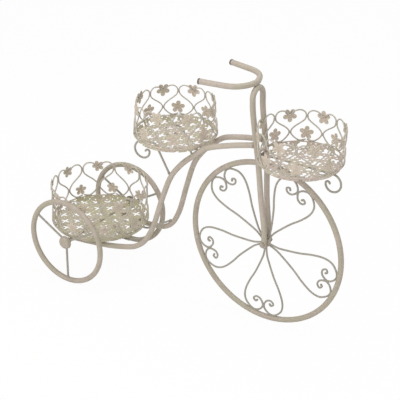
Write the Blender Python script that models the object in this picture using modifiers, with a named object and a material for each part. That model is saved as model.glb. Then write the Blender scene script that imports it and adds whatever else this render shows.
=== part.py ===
"""Bicycle planter: a tricycle of bent tube that carries three round plant trays.

Each tray is a pierced pressed-sheet pan with a gallery of wire hearts and stamped
flowers standing on its lip.  The front wheel has scrolled wire hearts, the two rear
wheels have straight spokes, and all three wheels turn on their axles.

Frame: metres, +X forwards, +Y to the rider's left, +Z up.  The origin is on the ground
below the middle of the object's length and width.
"""

from math import atan, atan2, cos, hypot, pi, radians, sin, sqrt, tan

import bmesh
import bpy
from mathutils import Matrix, Vector

# Stock that the planter is bent and cut from
TUBE_DIAMETER = 0.012
SCROLL_WIRE_DIAMETER = 0.0036
SPOKE_DIAMETER = 0.0042
BRACKET_WIRE_DIAMETER = 0.0045
GALLERY_WIRE_DIAMETER = 0.0025
CROSS_ROD_DIAMETER = 0.006
SHEET_THICKNESS = 0.0012

# Gaps between pieces that touch, and depths of welds inside one piece
WELD_GAP = 0.0003
RUNNING_CLEARANCE = 0.0003
WELD_SINK = 0.0005
SPOKE_SINK = 0.0012
CUT_OVERRUN = 0.002

# Wheels
FRONT_WHEEL_DIAMETER = 0.400
REAR_WHEEL_DIAMETER = 0.218
WHEELBASE = 0.4825
REAR_TRAY_CLEARANCE = 0.001
HUB_DIAMETER = 0.016
FRONT_HUB_LENGTH = 0.0042
REAR_HUB_LENGTH = 0.012
FRONT_BOLT_DIAMETER = 0.006
REAR_AXLE_DIAMETER = 0.008
NUT_DIAMETER = 0.0125
NUT_THICKNESS = 0.0045
COLLAR_DIAMETER = 0.014
COLLAR_LENGTH = 0.004
HUB_CAP_DIAMETER = 0.033
HUB_CAP_WALL = 0.0009
HUB_CAP_ROOM = 0.001
BOLT_END = 0.0008

# Fork and handlebar
HANDLEBAR_HEIGHT = 0.5795
HANDLEBAR_BACK_DEG = 22.5
HANDLEBAR_LENGTH = 0.1035
HANDLEBAR_HALF_WIDTH = 0.0635
PLUG_DIAMETER = 0.0128
PLUG_LENGTH = 0.004
FORK_CROWN_HALF_WIDTH = 0.0205
FORK_END_DROP = 0.009
FORK_RAKE = 0.0294

# Frame tubes
FRAME_HEAD_HEIGHT = 0.441
FRAME_HEAD_HALF_GAP = 0.0190
FRAME_SPLAY_DEG = 8.05
FRAME_TAIL_OVERHANG = 0.010

# Trays: radius over the lip, where the edge nearest the fork lies, and the gallery
FRONT_TRAY_RADIUS = 0.0956
FRONT_TRAY_SETFORWARD = -0.0125
FRONT_TRAY_ABOVE_WHEEL = 0.0175
FRONT_GALLERY_HEIGHT = 0.0730
FRONT_GALLERY_LEAN = 0.002
FRONT_FLOWER_DIAMETER = 0.031
MIDDLE_TRAY_RADIUS = 0.0970
MIDDLE_TRAY_SETBACK = 0.1510
MIDDLE_GALLERY_HEIGHT = 0.0755
MIDDLE_GALLERY_LEAN = -0.006
MIDDLE_FLOWER_DIAMETER = 0.031
REAR_TRAY_RADIUS = 0.119
REAR_TRAY_SETBACK = 0.3579
REAR_GALLERY_HEIGHT = 0.093
REAR_GALLERY_LEAN = -0.0015
REAR_FLOWER_DIAMETER = 0.028
TRAY_DEPTH = 0.013
TRAY_FLARE = 0.0045
LIP_WIDTH = 0.004
CROSS_HOLE_LENGTH = 0.020
CROSS_HOLE_WIDTH = 0.0042

# Bracket wires and their scrolled ends: radii of three quarter turns and of the hook
SCROLL_RADIUS_OUTER = 0.0212
SCROLL_RADIUS_MIDDLE = 0.0208
SCROLL_RADIUS_INNER = 0.0170
SCROLL_HOOK_RADIUS = 0.0052
SCROLL_HOOK_DEG = 165.0
FRONT_SCROLL_OVERHANG = 0.0078
MIDDLE_SCROLL_OVERHANG = -0.004
BRACKET_BEND_RADIUS = 0.008
MIDDLE_STRUT_STATION_SHARE = 0.4334
MIDDLE_STRUT_LEAN_DEG = 63.0
REAR_STRUT_STATION_SHARE = 0.5675
REAR_BRACKET_HALF_GAP = 0.036

# Counts and angles
FRONT_HEARTS = 8
FRONT_FIRST_NODE_DEG = 23.5
FRONT_CROSSES = 4
MIDDLE_HEARTS = 8
MIDDLE_FIRST_NODE_DEG = 31.0
MIDDLE_CROSSES = 4
REAR_HEARTS = 9
REAR_FIRST_NODE_DEG = 30.0
REAR_CROSSES = 6
WHEEL_HEART_ANGLES_DEG = (-91.0, -17.0, 62.0, 132.0, 202.0)
SPOKE_ANGLES_DEG = (30.0, 150.0, -90.0)
LOWER_FLOWER_TURN_DEG = 6.0
CROSS_TURN_DEG = 5.0
FRONT_RIM_STEPS = 48
REAR_RIM_STEPS = 32
RIM_SIDES = 6
TURNED_STEPS = 16
TRAY_STEPS = 32
NUT_SIDES = 6
TUBE_TURN_DEG = 6.0
WIRE_TURN_DEG = 38.0
GALLERY_TURN_DEG = 50.0
SPAN_STEPS = 6
GALLERY_SPAN_STEPS = 3

# Half of one wheel heart, outward along its middle line and sideways from it, as shares
# of the radius at which its wire touches the rim.  None marks where the two halves meet,
# with their middle lines this share of the wire's diameter apart.
WHEEL_HEART_SHARES = (
    (0.080, None), (0.140, 0.0185), (0.226, 0.040), (0.446, 0.129), (0.602, 0.210),
    (0.753, 0.266), (0.871, 0.264), (0.952, 0.204), (0.9918, 0.128), (0.957, 0.054),
    (0.877, None), (0.807, 0.054), (0.796, 0.113), (0.834, 0.145), (0.861, 0.113),
)
PAIR_SPACING_SHARE = 0.78

# Half of one gallery heart from its foot to the cleft: sideways share of the room between
# the heart's middle line and its neighbour, and share of the gallery's height.
GALLERY_HEART_SHARES = (
    (0.97, 0.030), (0.78, 0.004), (0.56, 0.0), (0.33, 0.065), (0.12, 0.165), (0.0, 0.270),
    (0.09, 0.375), (0.33, 0.480), (0.64, 0.580), (0.90, 0.685), (1.0, 0.800), (0.95, 0.910),
    (0.76, 0.985), (0.55, 1.0), (0.35, 0.980), (0.15, 0.930),
)
CLEFT_HEIGHT_SHARE = 0.885
UPPER_FLOWER_HEIGHT_SHARE = 0.865

# Side view of a frame tube from the fork to its tail: shares of its length and its rise
FRAME_TUBE_SHARES = (
    (0.0, 1.0), (0.110, 0.967), (0.220, 0.922), (0.270, 0.884), (0.323, 0.822),
    (0.377, 0.752), (0.435, 0.641), (0.484, 0.460), (0.5225, 0.287), (0.546, 0.2025),
    (0.5825, 0.115), (0.6255, 0.062), (0.677, 0.033), (0.791, 0.007), (0.92, 0.0), (1.0, 0.0),
)

# Fork leg from the axle up: shares of its height, of its rake to the rear and of its spread
FORK_LEG_SHARES = (
    (0.0, 0.0, 0.0), (0.10, 0.0, 0.05), (0.296, 0.27, 0.29), (0.53, 0.46, 0.72), (0.748, 0.80, 0.89),
    (0.869, 0.97, 0.96), (0.94, 1.0, 1.0),
)

# Half of the handlebar from its front: shares of its length and of its half width
HANDLEBAR_SHARES = (
    (0.0, 0.0), (0.047, 0.30), (0.124, 0.53), (0.245, 0.72), (0.416, 0.837), (0.562, 0.88),
    (0.76, 0.936), (1.0, 1.0),
)

# One petal of a stamped flower: angle from the petal's middle, share of the radius
PETAL_SHARES = ((-36.0, 0.46), (-17.0, 0.97), (17.0, 0.97))
PETALS = 5
CROSS_RING_SHARE = 0.60
CAP_EDGE_SHARE = 0.45

# Sizes and places that follow from those above
TUBE_RADIUS = TUBE_DIAMETER / 2
FRONT_WHEEL_RADIUS = FRONT_WHEEL_DIAMETER / 2
REAR_WHEEL_RADIUS = REAR_WHEEL_DIAMETER / 2
BRACKET_WIRE_RADIUS = BRACKET_WIRE_DIAMETER / 2
GALLERY_WIRE_RADIUS = GALLERY_WIRE_DIAMETER / 2
REAR_AXLE_RADIUS = REAR_AXLE_DIAMETER / 2
REAR_REACH = max(REAR_TRAY_SETBACK + 2 * REAR_TRAY_RADIUS, WHEELBASE + REAR_WHEEL_RADIUS)
FRONT_REACH = max(FRONT_WHEEL_RADIUS, FRONT_TRAY_SETFORWARD + 2 * FRONT_TRAY_RADIUS + FRONT_SCROLL_OVERHANG)
FRONT_AXLE_X = (REAR_REACH - FRONT_REACH) / 2
REAR_AXLE_X = FRONT_AXLE_X - WHEELBASE
REAR_WHEEL_Y = REAR_TRAY_RADIUS + REAR_TRAY_CLEARANCE + REAR_HUB_LENGTH / 2
CROWN_TO_HANDLEBAR = TUBE_DIAMETER * cos(radians(HANDLEBAR_BACK_DEG)) + WELD_GAP
CROWN_HEIGHT = HANDLEBAR_HEIGHT - CROWN_TO_HANDLEBAR * cos(radians(HANDLEBAR_BACK_DEG))
FORK_AXLE_HALF_GAP = FRONT_HUB_LENGTH / 2 + RUNNING_CLEARANCE + TUBE_RADIUS
FRONT_TRAY_BASE = FRONT_WHEEL_DIAMETER + FRONT_TRAY_ABOVE_WHEEL

# Colours of the planter: cream-grey paint on the tube, greyer on the thin wire
TUBE_PAINT = (0.48, 0.42, 0.355)
WIRE_PAINT = (0.34, 0.305, 0.255)
SHEET_PAINT = (0.50, 0.45, 0.36)
BARE_STEEL = (0.30, 0.28, 0.25)


for old in list(bpy.data.objects):
    bpy.data.objects.remove(old, do_unlink=True)


def new_collection(name):
    """An empty collection of this name, linked to the scene."""
    made = bpy.data.collections.new(name)
    bpy.context.scene.collection.children.link(made)
    return made


PARTS = new_collection("bicycle_planter")
CUTTERS = new_collection("cutters")


def adopt(obj, group, parent=None):
    """Put an object in one collection and, if given, under a parent empty."""
    for owner in list(obj.users_collection):
        owner.objects.unlink(obj)
    group.objects.link(obj)
    if parent is not None:
        obj.parent = parent
    return obj


def paint(obj, colour, metallic=0.25, roughness=0.55):
    """Give an object its own Principled material and smooth shading with sharp edges."""
    coat = bpy.data.materials.new(obj.name + "_paint")
    coat.use_nodes = True
    shader = coat.node_tree.nodes["Principled BSDF"]
    shader.inputs["Base Color"].default_value = (*colour, 1.0)
    shader.inputs["Metallic"].default_value = metallic
    shader.inputs["Roughness"].default_value = roughness
    obj.data.materials.clear()
    obj.data.materials.append(coat)
    if obj.type == "MESH" and len(obj.data.polygons) > 0:
        for face in obj.data.polygons:
            face.material_index = 0
        obj.data.shade_smooth()
        obj.data.set_sharp_from_angle(angle=radians(40))
    return obj


def empty_at(name, location):
    """An empty that carries the pieces turning or seated about one point."""
    holder = bpy.data.objects.new(name, None)
    holder.location = location
    PARTS.objects.link(holder)
    return holder


def smooth_path(points, steps=SPAN_STEPS):
    """A Catmull-Rom curve through the points, with steps pieces to a span."""
    points = [Vector(p) for p in points]
    points = [2 * points[0] - points[1]] + points + [2 * points[-1] - points[-2]]
    path = []
    for before, start, end, after in zip(points, points[1:], points[2:], points[3:]):
        for i in range(steps):
            t = i / steps
            path.append(0.5 * (2 * start + (end - before) * t
                               + (2 * before - 5 * start + 4 * end - after) * t * t
                               + (3 * start - before - 3 * end + after) * t ** 3))
    path.append(points[-2])
    return path


def thin_path(path, turn_deg, keep=()):
    """Keep the ends, the points numbered in keep, and one wherever the path has turned
    by turn_deg."""
    kept = [path[0]]
    turned_by = 0.0
    for i in range(1, len(path) - 1):
        turned_by += (path[i] - path[i - 1]).angle(path[i + 1] - path[i], 0.0)
        if turned_by >= radians(turn_deg) or i in keep:
            kept.append(path[i])
            turned_by = 0.0
    kept.append(path[-1])
    return kept


def walk(heading_deg, moves, turn_deg):
    """Points of a flat path (across, up) from the origin, of straight runs and arcs.

    A move is (length,) or (radius, sweep_deg); a positive sweep turns left.
    """
    across, up = 0.0, 0.0
    heading = radians(heading_deg)
    points = [(across, up)]
    for move in moves:
        if len(move) == 1:
            across += move[0] * cos(heading)
            up += move[0] * sin(heading)
            points.append((across, up))
            continue
        radius, sweep = move[0], radians(move[1])
        side = 1 if sweep > 0 else -1
        steps = max(1, round(abs(move[1]) / turn_deg))
        middle = (across - side * radius * sin(heading), up + side * radius * cos(heading))
        for i in range(1, steps + 1):
            now = heading + sweep * i / steps
            across = middle[0] + side * radius * sin(now)
            up = middle[1] - side * radius * cos(now)
            points.append((across, up))
        heading += sweep
    return points


def bar(name, path, diameter, colour, parent=None, resolution=2):
    """Round bar or tube bent along a path, with closed ends."""
    curve = bpy.data.curves.new(name, "CURVE")
    curve.dimensions = "3D"
    curve.bevel_depth = diameter / 2
    curve.bevel_resolution = resolution
    curve.use_fill_caps = True
    spline = curve.splines.new("POLY")
    spline.points.add(len(path) - 1)
    for point, place in zip(spline.points, path):
        point.co = (*place, 1.0)
    obj = adopt(bpy.data.objects.new(name, curve), PARTS, parent)
    return paint(obj, colour)


def as_mesh(obj):
    """Turn an object into one with a plain mesh and welded caps, in the same place."""
    bpy.context.view_layer.update()
    graph = bpy.context.evaluated_depsgraph_get()
    mesh = bpy.data.meshes.new_from_object(obj.evaluated_get(graph))
    work = bmesh.new()
    work.from_mesh(mesh)
    bmesh.ops.remove_doubles(work, verts=work.verts, dist=WELD_GAP / 100)
    work.to_mesh(mesh)
    work.free()
    made = bpy.data.objects.new("mesh", mesh)
    made.matrix_world = obj.matrix_world
    name = obj.name
    bpy.data.objects.remove(obj, do_unlink=True)
    made.name = name
    return adopt(made, PARTS)


def cylinder(name, diameter, length, middle, group=PARTS, parent=None, sides=TURNED_STEPS):
    """Cylinder along Y about its middle."""
    bpy.ops.mesh.primitive_cylinder_add(vertices=sides, radius=diameter / 2, depth=length,
                                        location=middle, rotation=(pi / 2, 0, 0))
    obj = bpy.context.object
    obj.name = name
    return adopt(obj, group, parent)


def cut(obj, cutter):
    """Cut a cutter out of an object and hide the cutter."""
    cutter.hide_render = True
    cutter.display_type = "WIRE"
    hole = obj.modifiers.new("hole", "BOOLEAN")
    hole.operation = "DIFFERENCE"
    hole.solver = "EXACT"
    hole.object = cutter
    return obj


def fuse(obj, others):
    """Weld other mesh objects into one: a single closed body, and the others go."""
    for other in others:
        weld = obj.modifiers.new("weld", "BOOLEAN")
        weld.operation = "UNION"
        weld.solver = "EXACT"
        weld.object = other
    made = as_mesh(obj)
    for other in others:
        bpy.data.objects.remove(other, do_unlink=True)
    return made


def sleeve(name, diameter, bore, length, middle, colour, parent=None, sides=TURNED_STEPS, metallic=0.25):
    """Cylinder along Y with a bore right through it."""
    obj = cylinder(name, diameter, length, middle, PARTS, parent, sides)
    drill = cylinder(name + "_bore", bore, length + 2 * CUT_OVERRUN, middle, CUTTERS, parent)
    cut(obj, drill)
    return paint(obj, colour, metallic)


def turned(name, profile, steps, colour, parent=None, metallic=0.25):
    """Profile (radius, height) turned about Z, given from its top down the outer side."""
    mesh = bpy.data.meshes.new(name)
    rows = [(radius, 0, height) for radius, height in profile]
    mesh.from_pydata(rows, [(i, i + 1) for i in range(len(rows) - 1)], [])
    obj = adopt(bpy.data.objects.new(name, mesh), PARTS, parent)
    screw = obj.modifiers.new("turn", "SCREW")
    screw.axis = "Z"
    screw.steps = steps
    screw.render_steps = steps
    screw.use_merge_vertices = True
    screw.merge_threshold = WELD_GAP / 100
    return paint(obj, colour, metallic)


def flat_plate(name, outline, thickness):
    """Flat sheet in the XY plane with a closed outline, as a mesh object."""
    curve = bpy.data.curves.new(name, "CURVE")
    curve.dimensions = "2D"
    curve.fill_mode = "BOTH"
    curve.extrude = thickness / 2
    spline = curve.splines.new("POLY")
    spline.points.add(len(outline) - 1)
    for point, (across, up) in zip(spline.points, outline):
        point.co = (across, up, 0, 1.0)
    spline.use_cyclic_u = True
    return as_mesh(adopt(bpy.data.objects.new(name, curve), PARTS))


# Wheels
def rim_inside(wheel_diameter, steps):
    """Radius that clears the inner side of a rim, whose steps are straight."""
    return (wheel_diameter / 2 - TUBE_DIAMETER) * cos(pi / steps) - WELD_GAP


def rim(name, wheel_diameter, steps, parent):
    """Tube bent to a ring in the wheel's plane."""
    bpy.ops.mesh.primitive_torus_add(major_segments=steps, minor_segments=RIM_SIDES,
                                     major_radius=wheel_diameter / 2 - TUBE_RADIUS,
                                     minor_radius=TUBE_RADIUS, rotation=(pi / 2, 0, 0))
    obj = bpy.context.object
    obj.name = name
    adopt(obj, PARTS, parent)
    return paint(obj, TUBE_PAINT)


def wheel_heart_half(side):
    """Path of one scrolled wire of a heart that points along +X, in the wheel's plane."""
    touch = rim_inside(FRONT_WHEEL_DIAMETER, FRONT_RIM_STEPS) - SCROLL_WIRE_DIAMETER / 2
    partner = SCROLL_WIRE_DIAMETER * PAIR_SPACING_SHARE / 2
    places = []
    for out_share, side_share in WHEEL_HEART_SHARES:
        out = out_share * touch if places else HUB_DIAMETER / 2 + WELD_GAP
        aside = partner if side_share is None else max(side_share * touch, partner)
        places.append((out, 0, side * aside))
    touching = [i for i, (out, _) in enumerate(WHEEL_HEART_SHARES) if out == max(WHEEL_HEART_SHARES)[0]]
    return thin_path(smooth_path(places), WIRE_TURN_DEG, [i * SPAN_STEPS for i in touching])


# Front wheel: rim, hub sleeve and five hearts of two scrolled wires each
front_wheel = empty_at("front_wheel_axis", (FRONT_AXLE_X, 0, FRONT_WHEEL_RADIUS))
rim("front_rim", FRONT_WHEEL_DIAMETER, FRONT_RIM_STEPS, front_wheel)
front_bore = FRONT_BOLT_DIAMETER + 2 * RUNNING_CLEARANCE
sleeve("front_hub", HUB_DIAMETER, front_bore, FRONT_HUB_LENGTH, (0, 0, 0), WIRE_PAINT, front_wheel)
halves = [as_mesh(bar("front_wheel_heart", wheel_heart_half(side), SCROLL_WIRE_DIAMETER, WIRE_PAINT, None, 1))
          for side in (-1, 1)]
wheel_heart = paint(fuse(halves[0], halves[1:]), WIRE_PAINT)
for i, angle in enumerate(WHEEL_HEART_ANGLES_DEG):
    heart = bpy.data.objects.new("front_wheel_heart_" + str(i + 1), wheel_heart.data)
    heart.rotation_euler = (0, -radians(angle), 0)
    adopt(heart, PARTS, front_wheel)
bpy.data.objects.remove(wheel_heart, do_unlink=True)


# Rear wheels: rim, hub sleeve with three welded spokes, and a domed cap outside the hub
def rear_wheel(side_name, side):
    """One rear wheel about its own axis; side is -1 on the right and 1 on the left."""
    place = (REAR_AXLE_X, side * REAR_WHEEL_Y, REAR_WHEEL_RADIUS)
    holder = empty_at("rear_wheel_" + side_name + "_axis", place)
    rim("rear_rim_" + side_name, REAR_WHEEL_DIAMETER, REAR_RIM_STEPS, holder)
    bore = REAR_AXLE_DIAMETER + 2 * RUNNING_CLEARANCE
    hub = sleeve("rear_spider_" + side_name, HUB_DIAMETER, bore, REAR_HUB_LENGTH, (0, 0, 0), WIRE_PAINT)
    inner = HUB_DIAMETER / 2 - SPOKE_SINK
    outer = rim_inside(REAR_WHEEL_DIAMETER, REAR_RIM_STEPS)
    spokes = []
    for angle in SPOKE_ANGLES_DEG:
        turn = radians(angle)
        path = [Vector((r * cos(turn), 0, r * sin(turn))) for r in (inner, outer)]
        spokes.append(as_mesh(bar("spoke", path, SPOKE_DIAMETER, WIRE_PAINT)))
    adopt(paint(fuse(hub, spokes), WIRE_PAINT), PARTS, holder)
    cap_base = SPOKE_DIAMETER / 2 + WELD_GAP
    room = REAR_HUB_LENGTH / 2 + WELD_GAP + NUT_THICKNESS + BOLT_END + HUB_CAP_ROOM
    cap_radius = HUB_CAP_DIAMETER / 2
    top = room + HUB_CAP_WALL
    edge = cap_base + (top - cap_base) * CAP_EDGE_SHARE
    inner_radius = cap_radius - HUB_CAP_WALL
    bend = radians(45)
    dome = [(0, top), (cap_radius * sin(bend), edge + (top - edge) * cos(bend)), (cap_radius, edge),
            (cap_radius, cap_base), (inner_radius, cap_base), (inner_radius, edge),
            (inner_radius * sin(bend), edge + (room - edge) * cos(bend)), (0, room)]
    cap = turned("rear_hub_cap_" + side_name, dome, TURNED_STEPS, TUBE_PAINT, holder)
    cap.rotation_euler = (-side * pi / 2, 0, 0)


rear_wheel("right", -1)
rear_wheel("left", 1)

# Rear axle, turned with a collar inside each wheel, and a nut under each cap
nut_offset = REAR_WHEEL_Y + REAR_HUB_LENGTH / 2 + WELD_GAP + NUT_THICKNESS / 2
axle_end = nut_offset + NUT_THICKNESS / 2 + BOLT_END
collar_out = REAR_WHEEL_Y - REAR_HUB_LENGTH / 2 - RUNNING_CLEARANCE
collar_in = collar_out - COLLAR_LENGTH
upper_half = [(0, axle_end), (REAR_AXLE_RADIUS, axle_end), (REAR_AXLE_RADIUS, collar_out),
              (COLLAR_DIAMETER / 2, collar_out), (COLLAR_DIAMETER / 2, collar_in), (REAR_AXLE_RADIUS, collar_in)]
axle_profile = upper_half + [(radius, -height) for radius, height in reversed(upper_half)]
rear_axle = turned("rear_axle", axle_profile, TURNED_STEPS, BARE_STEEL, None, 0.8)
rear_axle.location = (REAR_AXLE_X, 0, REAR_WHEEL_RADIUS)
rear_axle.rotation_euler = (pi / 2, 0, 0)
axle_bore = REAR_AXLE_DIAMETER + 2 * WELD_GAP
for side_name, side in (("right", -1), ("left", 1)):
    nut_place = (REAR_AXLE_X, side * nut_offset, REAR_WHEEL_RADIUS)
    sleeve("rear_axle_nut_" + side_name, NUT_DIAMETER, axle_bore, NUT_THICKNESS, nut_place,
           BARE_STEEL, None, NUT_SIDES, 0.8)


# Fork: one tube bent to an upside-down U, with its legs drilled for the wheel bolt
def fork_leg_place(height):
    """Middle of a fork leg at a height: its X, and how far it stands from the middle plane."""
    share = (height - FRONT_WHEEL_RADIUS) / (CROWN_HEIGHT - FRONT_WHEEL_RADIUS)
    rake, spread = 1.0, 1.0
    for low, high in zip(FORK_LEG_SHARES, FORK_LEG_SHARES[1:]):
        if low[0] <= share <= high[0]:
            rake, spread = (a + (b - a) * (share - low[0]) / (high[0] - low[0]) for a, b in zip(low[1:], high[1:]))
    aside = FORK_AXLE_HALF_GAP + (FORK_CROWN_HALF_WIDTH - FORK_AXLE_HALF_GAP) * spread
    return FRONT_AXLE_X - FORK_RAKE * rake, aside


leg = [Vector((FRONT_AXLE_X, FORK_AXLE_HALF_GAP, FRONT_WHEEL_RADIUS - FORK_END_DROP))]
for height_share, _, _ in FORK_LEG_SHARES:
    height = FRONT_WHEEL_RADIUS + height_share * (CROWN_HEIGHT - FRONT_WHEEL_RADIUS)
    if height < CROWN_HEIGHT - FORK_CROWN_HALF_WIDTH:
        leg_x, leg_y = fork_leg_place(height)
        leg.append(Vector((leg_x, leg_y, height)))
leg = thin_path(smooth_path(leg, 4), 4.0)


def bent_leg_place(height):
    """Middle of the bent leg at a height, between the points of its path."""
    for low, high in zip(leg, leg[1:]):
        if low.z <= height <= high.z:
            place = low.lerp(high, (height - low.z) / (high.z - low.z))
            return place.x, place.y
    return leg[-1].x, leg[-1].y


crown_x = FRONT_AXLE_X - FORK_RAKE
crown = [Vector((crown_x, FORK_CROWN_HALF_WIDTH * cos(radians(a)),
                 CROWN_HEIGHT - FORK_CROWN_HALF_WIDTH * (1 - sin(radians(a))))) for a in range(0, 181, 18)]
other_leg = [Vector((p.x, -p.y, p.z)) for p in reversed(leg)]
fork = as_mesh(bar("fork", leg + crown + other_leg, TUBE_DIAMETER, TUBE_PAINT))
front_nut_offset = FORK_AXLE_HALF_GAP + TUBE_RADIUS + WELD_GAP + NUT_THICKNESS / 2
bolt_length = 2 * (front_nut_offset + NUT_THICKNESS / 2 + BOLT_END)
bolt_middle = (FRONT_AXLE_X, 0, FRONT_WHEEL_RADIUS)
bolt_bore = FRONT_BOLT_DIAMETER + 2 * WELD_GAP
cut(fork, cylinder("fork_bolt_hole", bolt_bore, bolt_length, bolt_middle, CUTTERS))
paint(cylinder("front_axle_bolt", FRONT_BOLT_DIAMETER, bolt_length, bolt_middle), BARE_STEEL, 0.8)
for side_name, side in (("right", -1), ("left", 1)):
    nut_place = (FRONT_AXLE_X, side * front_nut_offset, FRONT_WHEEL_RADIUS)
    sleeve("front_axle_nut_" + side_name, NUT_DIAMETER, bolt_bore, NUT_THICKNESS, nut_place,
           BARE_STEEL, None, NUT_SIDES, 0.8)

# Handlebar, welded on the back shoulder of the fork's crown where the flats of the two
# eight-sided tubes face each other, with a plug in each end
bar_x = crown_x - CROWN_TO_HANDLEBAR * sin(radians(HANDLEBAR_BACK_DEG))
bar_half = [Vector((bar_x - HANDLEBAR_LENGTH * back, HANDLEBAR_HALF_WIDTH * out, HANDLEBAR_HEIGHT))
            for back, out in HANDLEBAR_SHARES]
bar_route = [Vector((p.x, -p.y, p.z)) for p in reversed(bar_half[1:])] + bar_half
bar_smooth = smooth_path(bar_route)
bar_path = thin_path(bar_smooth, TUBE_TURN_DEG, [len(bar_smooth) // 2])
bar("handlebar", bar_path, TUBE_DIAMETER, TUBE_PAINT)
for side_name, end, before in (("right", bar_path[0], bar_path[1]), ("left", bar_path[-1], bar_path[-2])):
    outward = (end - before).normalized()
    plug = [end + outward * WELD_GAP, end + outward * (WELD_GAP + PLUG_LENGTH)]
    bar("handlebar_plug_" + side_name, plug, PLUG_DIAMETER, BARE_STEEL)

# Frame tubes: two mirrored bends from the fork's legs, down and back to the rear axle
head_leg_x, head_leg_y = bent_leg_place(FRAME_HEAD_HEIGHT)
tail_x = REAR_AXLE_X - FRAME_TAIL_OVERHANG
tail_z = REAR_WHEEL_RADIUS - REAR_AXLE_RADIUS - WELD_GAP - TUBE_RADIUS
head_drop = (FRAME_HEAD_HEIGHT - tail_z) * (1 - FRAME_TUBE_SHARES[1][1])
head_run = (head_leg_x - tail_x) * FRAME_TUBE_SHARES[1][0]
head_aside = abs(FRAME_HEAD_HALF_GAP - head_leg_y)


def head_contact(inward):
    """How far apart, along X, the leg's and a tube's middles are when the tube's end touches
    the leg this far inward of its own middle."""
    facing = sqrt(max(0.0, TUBE_RADIUS ** 2 - (head_aside - inward) ** 2))
    rise = sqrt(TUBE_RADIUS ** 2 - inward ** 2) * sin(atan(head_drop / head_run))
    return facing + rise - inward * sin(radians(FRAME_SPLAY_DEG))


head_x = head_leg_x - WELD_GAP - max(head_contact(TUBE_RADIUS * i / SPAN_STEPS) for i in range(SPAN_STEPS))


def frame_tube_route(side):
    """Smooth middle line of one frame tube, in its own splayed upright plane."""
    places = []
    for back, up in FRAME_TUBE_SHARES:
        behind = (head_x - tail_x) * back
        aside = FRAME_HEAD_HALF_GAP + behind * tan(radians(FRAME_SPLAY_DEG))
        places.append((head_x - behind, side * aside, tail_z + (FRAME_HEAD_HEIGHT - tail_z) * up))
    return smooth_path(places)


frame_routes = {"right": frame_tube_route(-1), "left": frame_tube_route(1)}
for side_name, route in frame_routes.items():
    bent = thin_path(route[:-SPAN_STEPS], TUBE_TURN_DEG)
    bar("frame_tube_" + side_name, bent + route[-1:], TUBE_DIAMETER, TUBE_PAINT, None, 3)


def seat_height(centre_x, radius):
    """Height of a tray's underside at which it rests on the frame tubes."""
    floor_radius = radius - LIP_WIDTH / 2 - TRAY_FLARE
    rings = [(floor_radius + (radius - floor_radius) * share, (TRAY_DEPTH - SHEET_THICKNESS) * share)
             for share in (0.0, 0.25, 0.5, 0.75, 1.0)]
    clearance = TUBE_RADIUS + WELD_GAP
    seat = 0.0
    for route in frame_routes.values():
        for place in route:
            for ring_radius, rise in rings:
                beyond = max(0.0, hypot(place.x - centre_x, place.y) - ring_radius)
                if beyond < clearance:
                    seat = max(seat, place.z + sqrt(clearance ** 2 - beyond ** 2) - rise)
    return seat


# Trays
def petal_outline(diameter, turn_deg):
    """Outline of a stamped flower with one petal pointing up, or turned by turn_deg."""
    outline = []
    for petal in range(PETALS):
        for angle, share in PETAL_SHARES:
            turn = pi / 2 + petal * 2 * pi / PETALS + radians(angle + turn_deg)
            outline.append((diameter / 2 * share * cos(turn), diameter / 2 * share * sin(turn)))
    return outline


def cross_outline(length, width):
    """Outline of an X-shaped hole about the origin."""
    far, near = length / 2, width / 2
    outline = []
    for quarter in range(4):
        turn = pi / 4 + quarter * pi / 2
        for across, up in ((far, -near), (far, near), (near, near)):
            outline.append((across * cos(turn) - up * sin(turn), across * sin(turn) + up * cos(turn)))
    return outline


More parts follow.
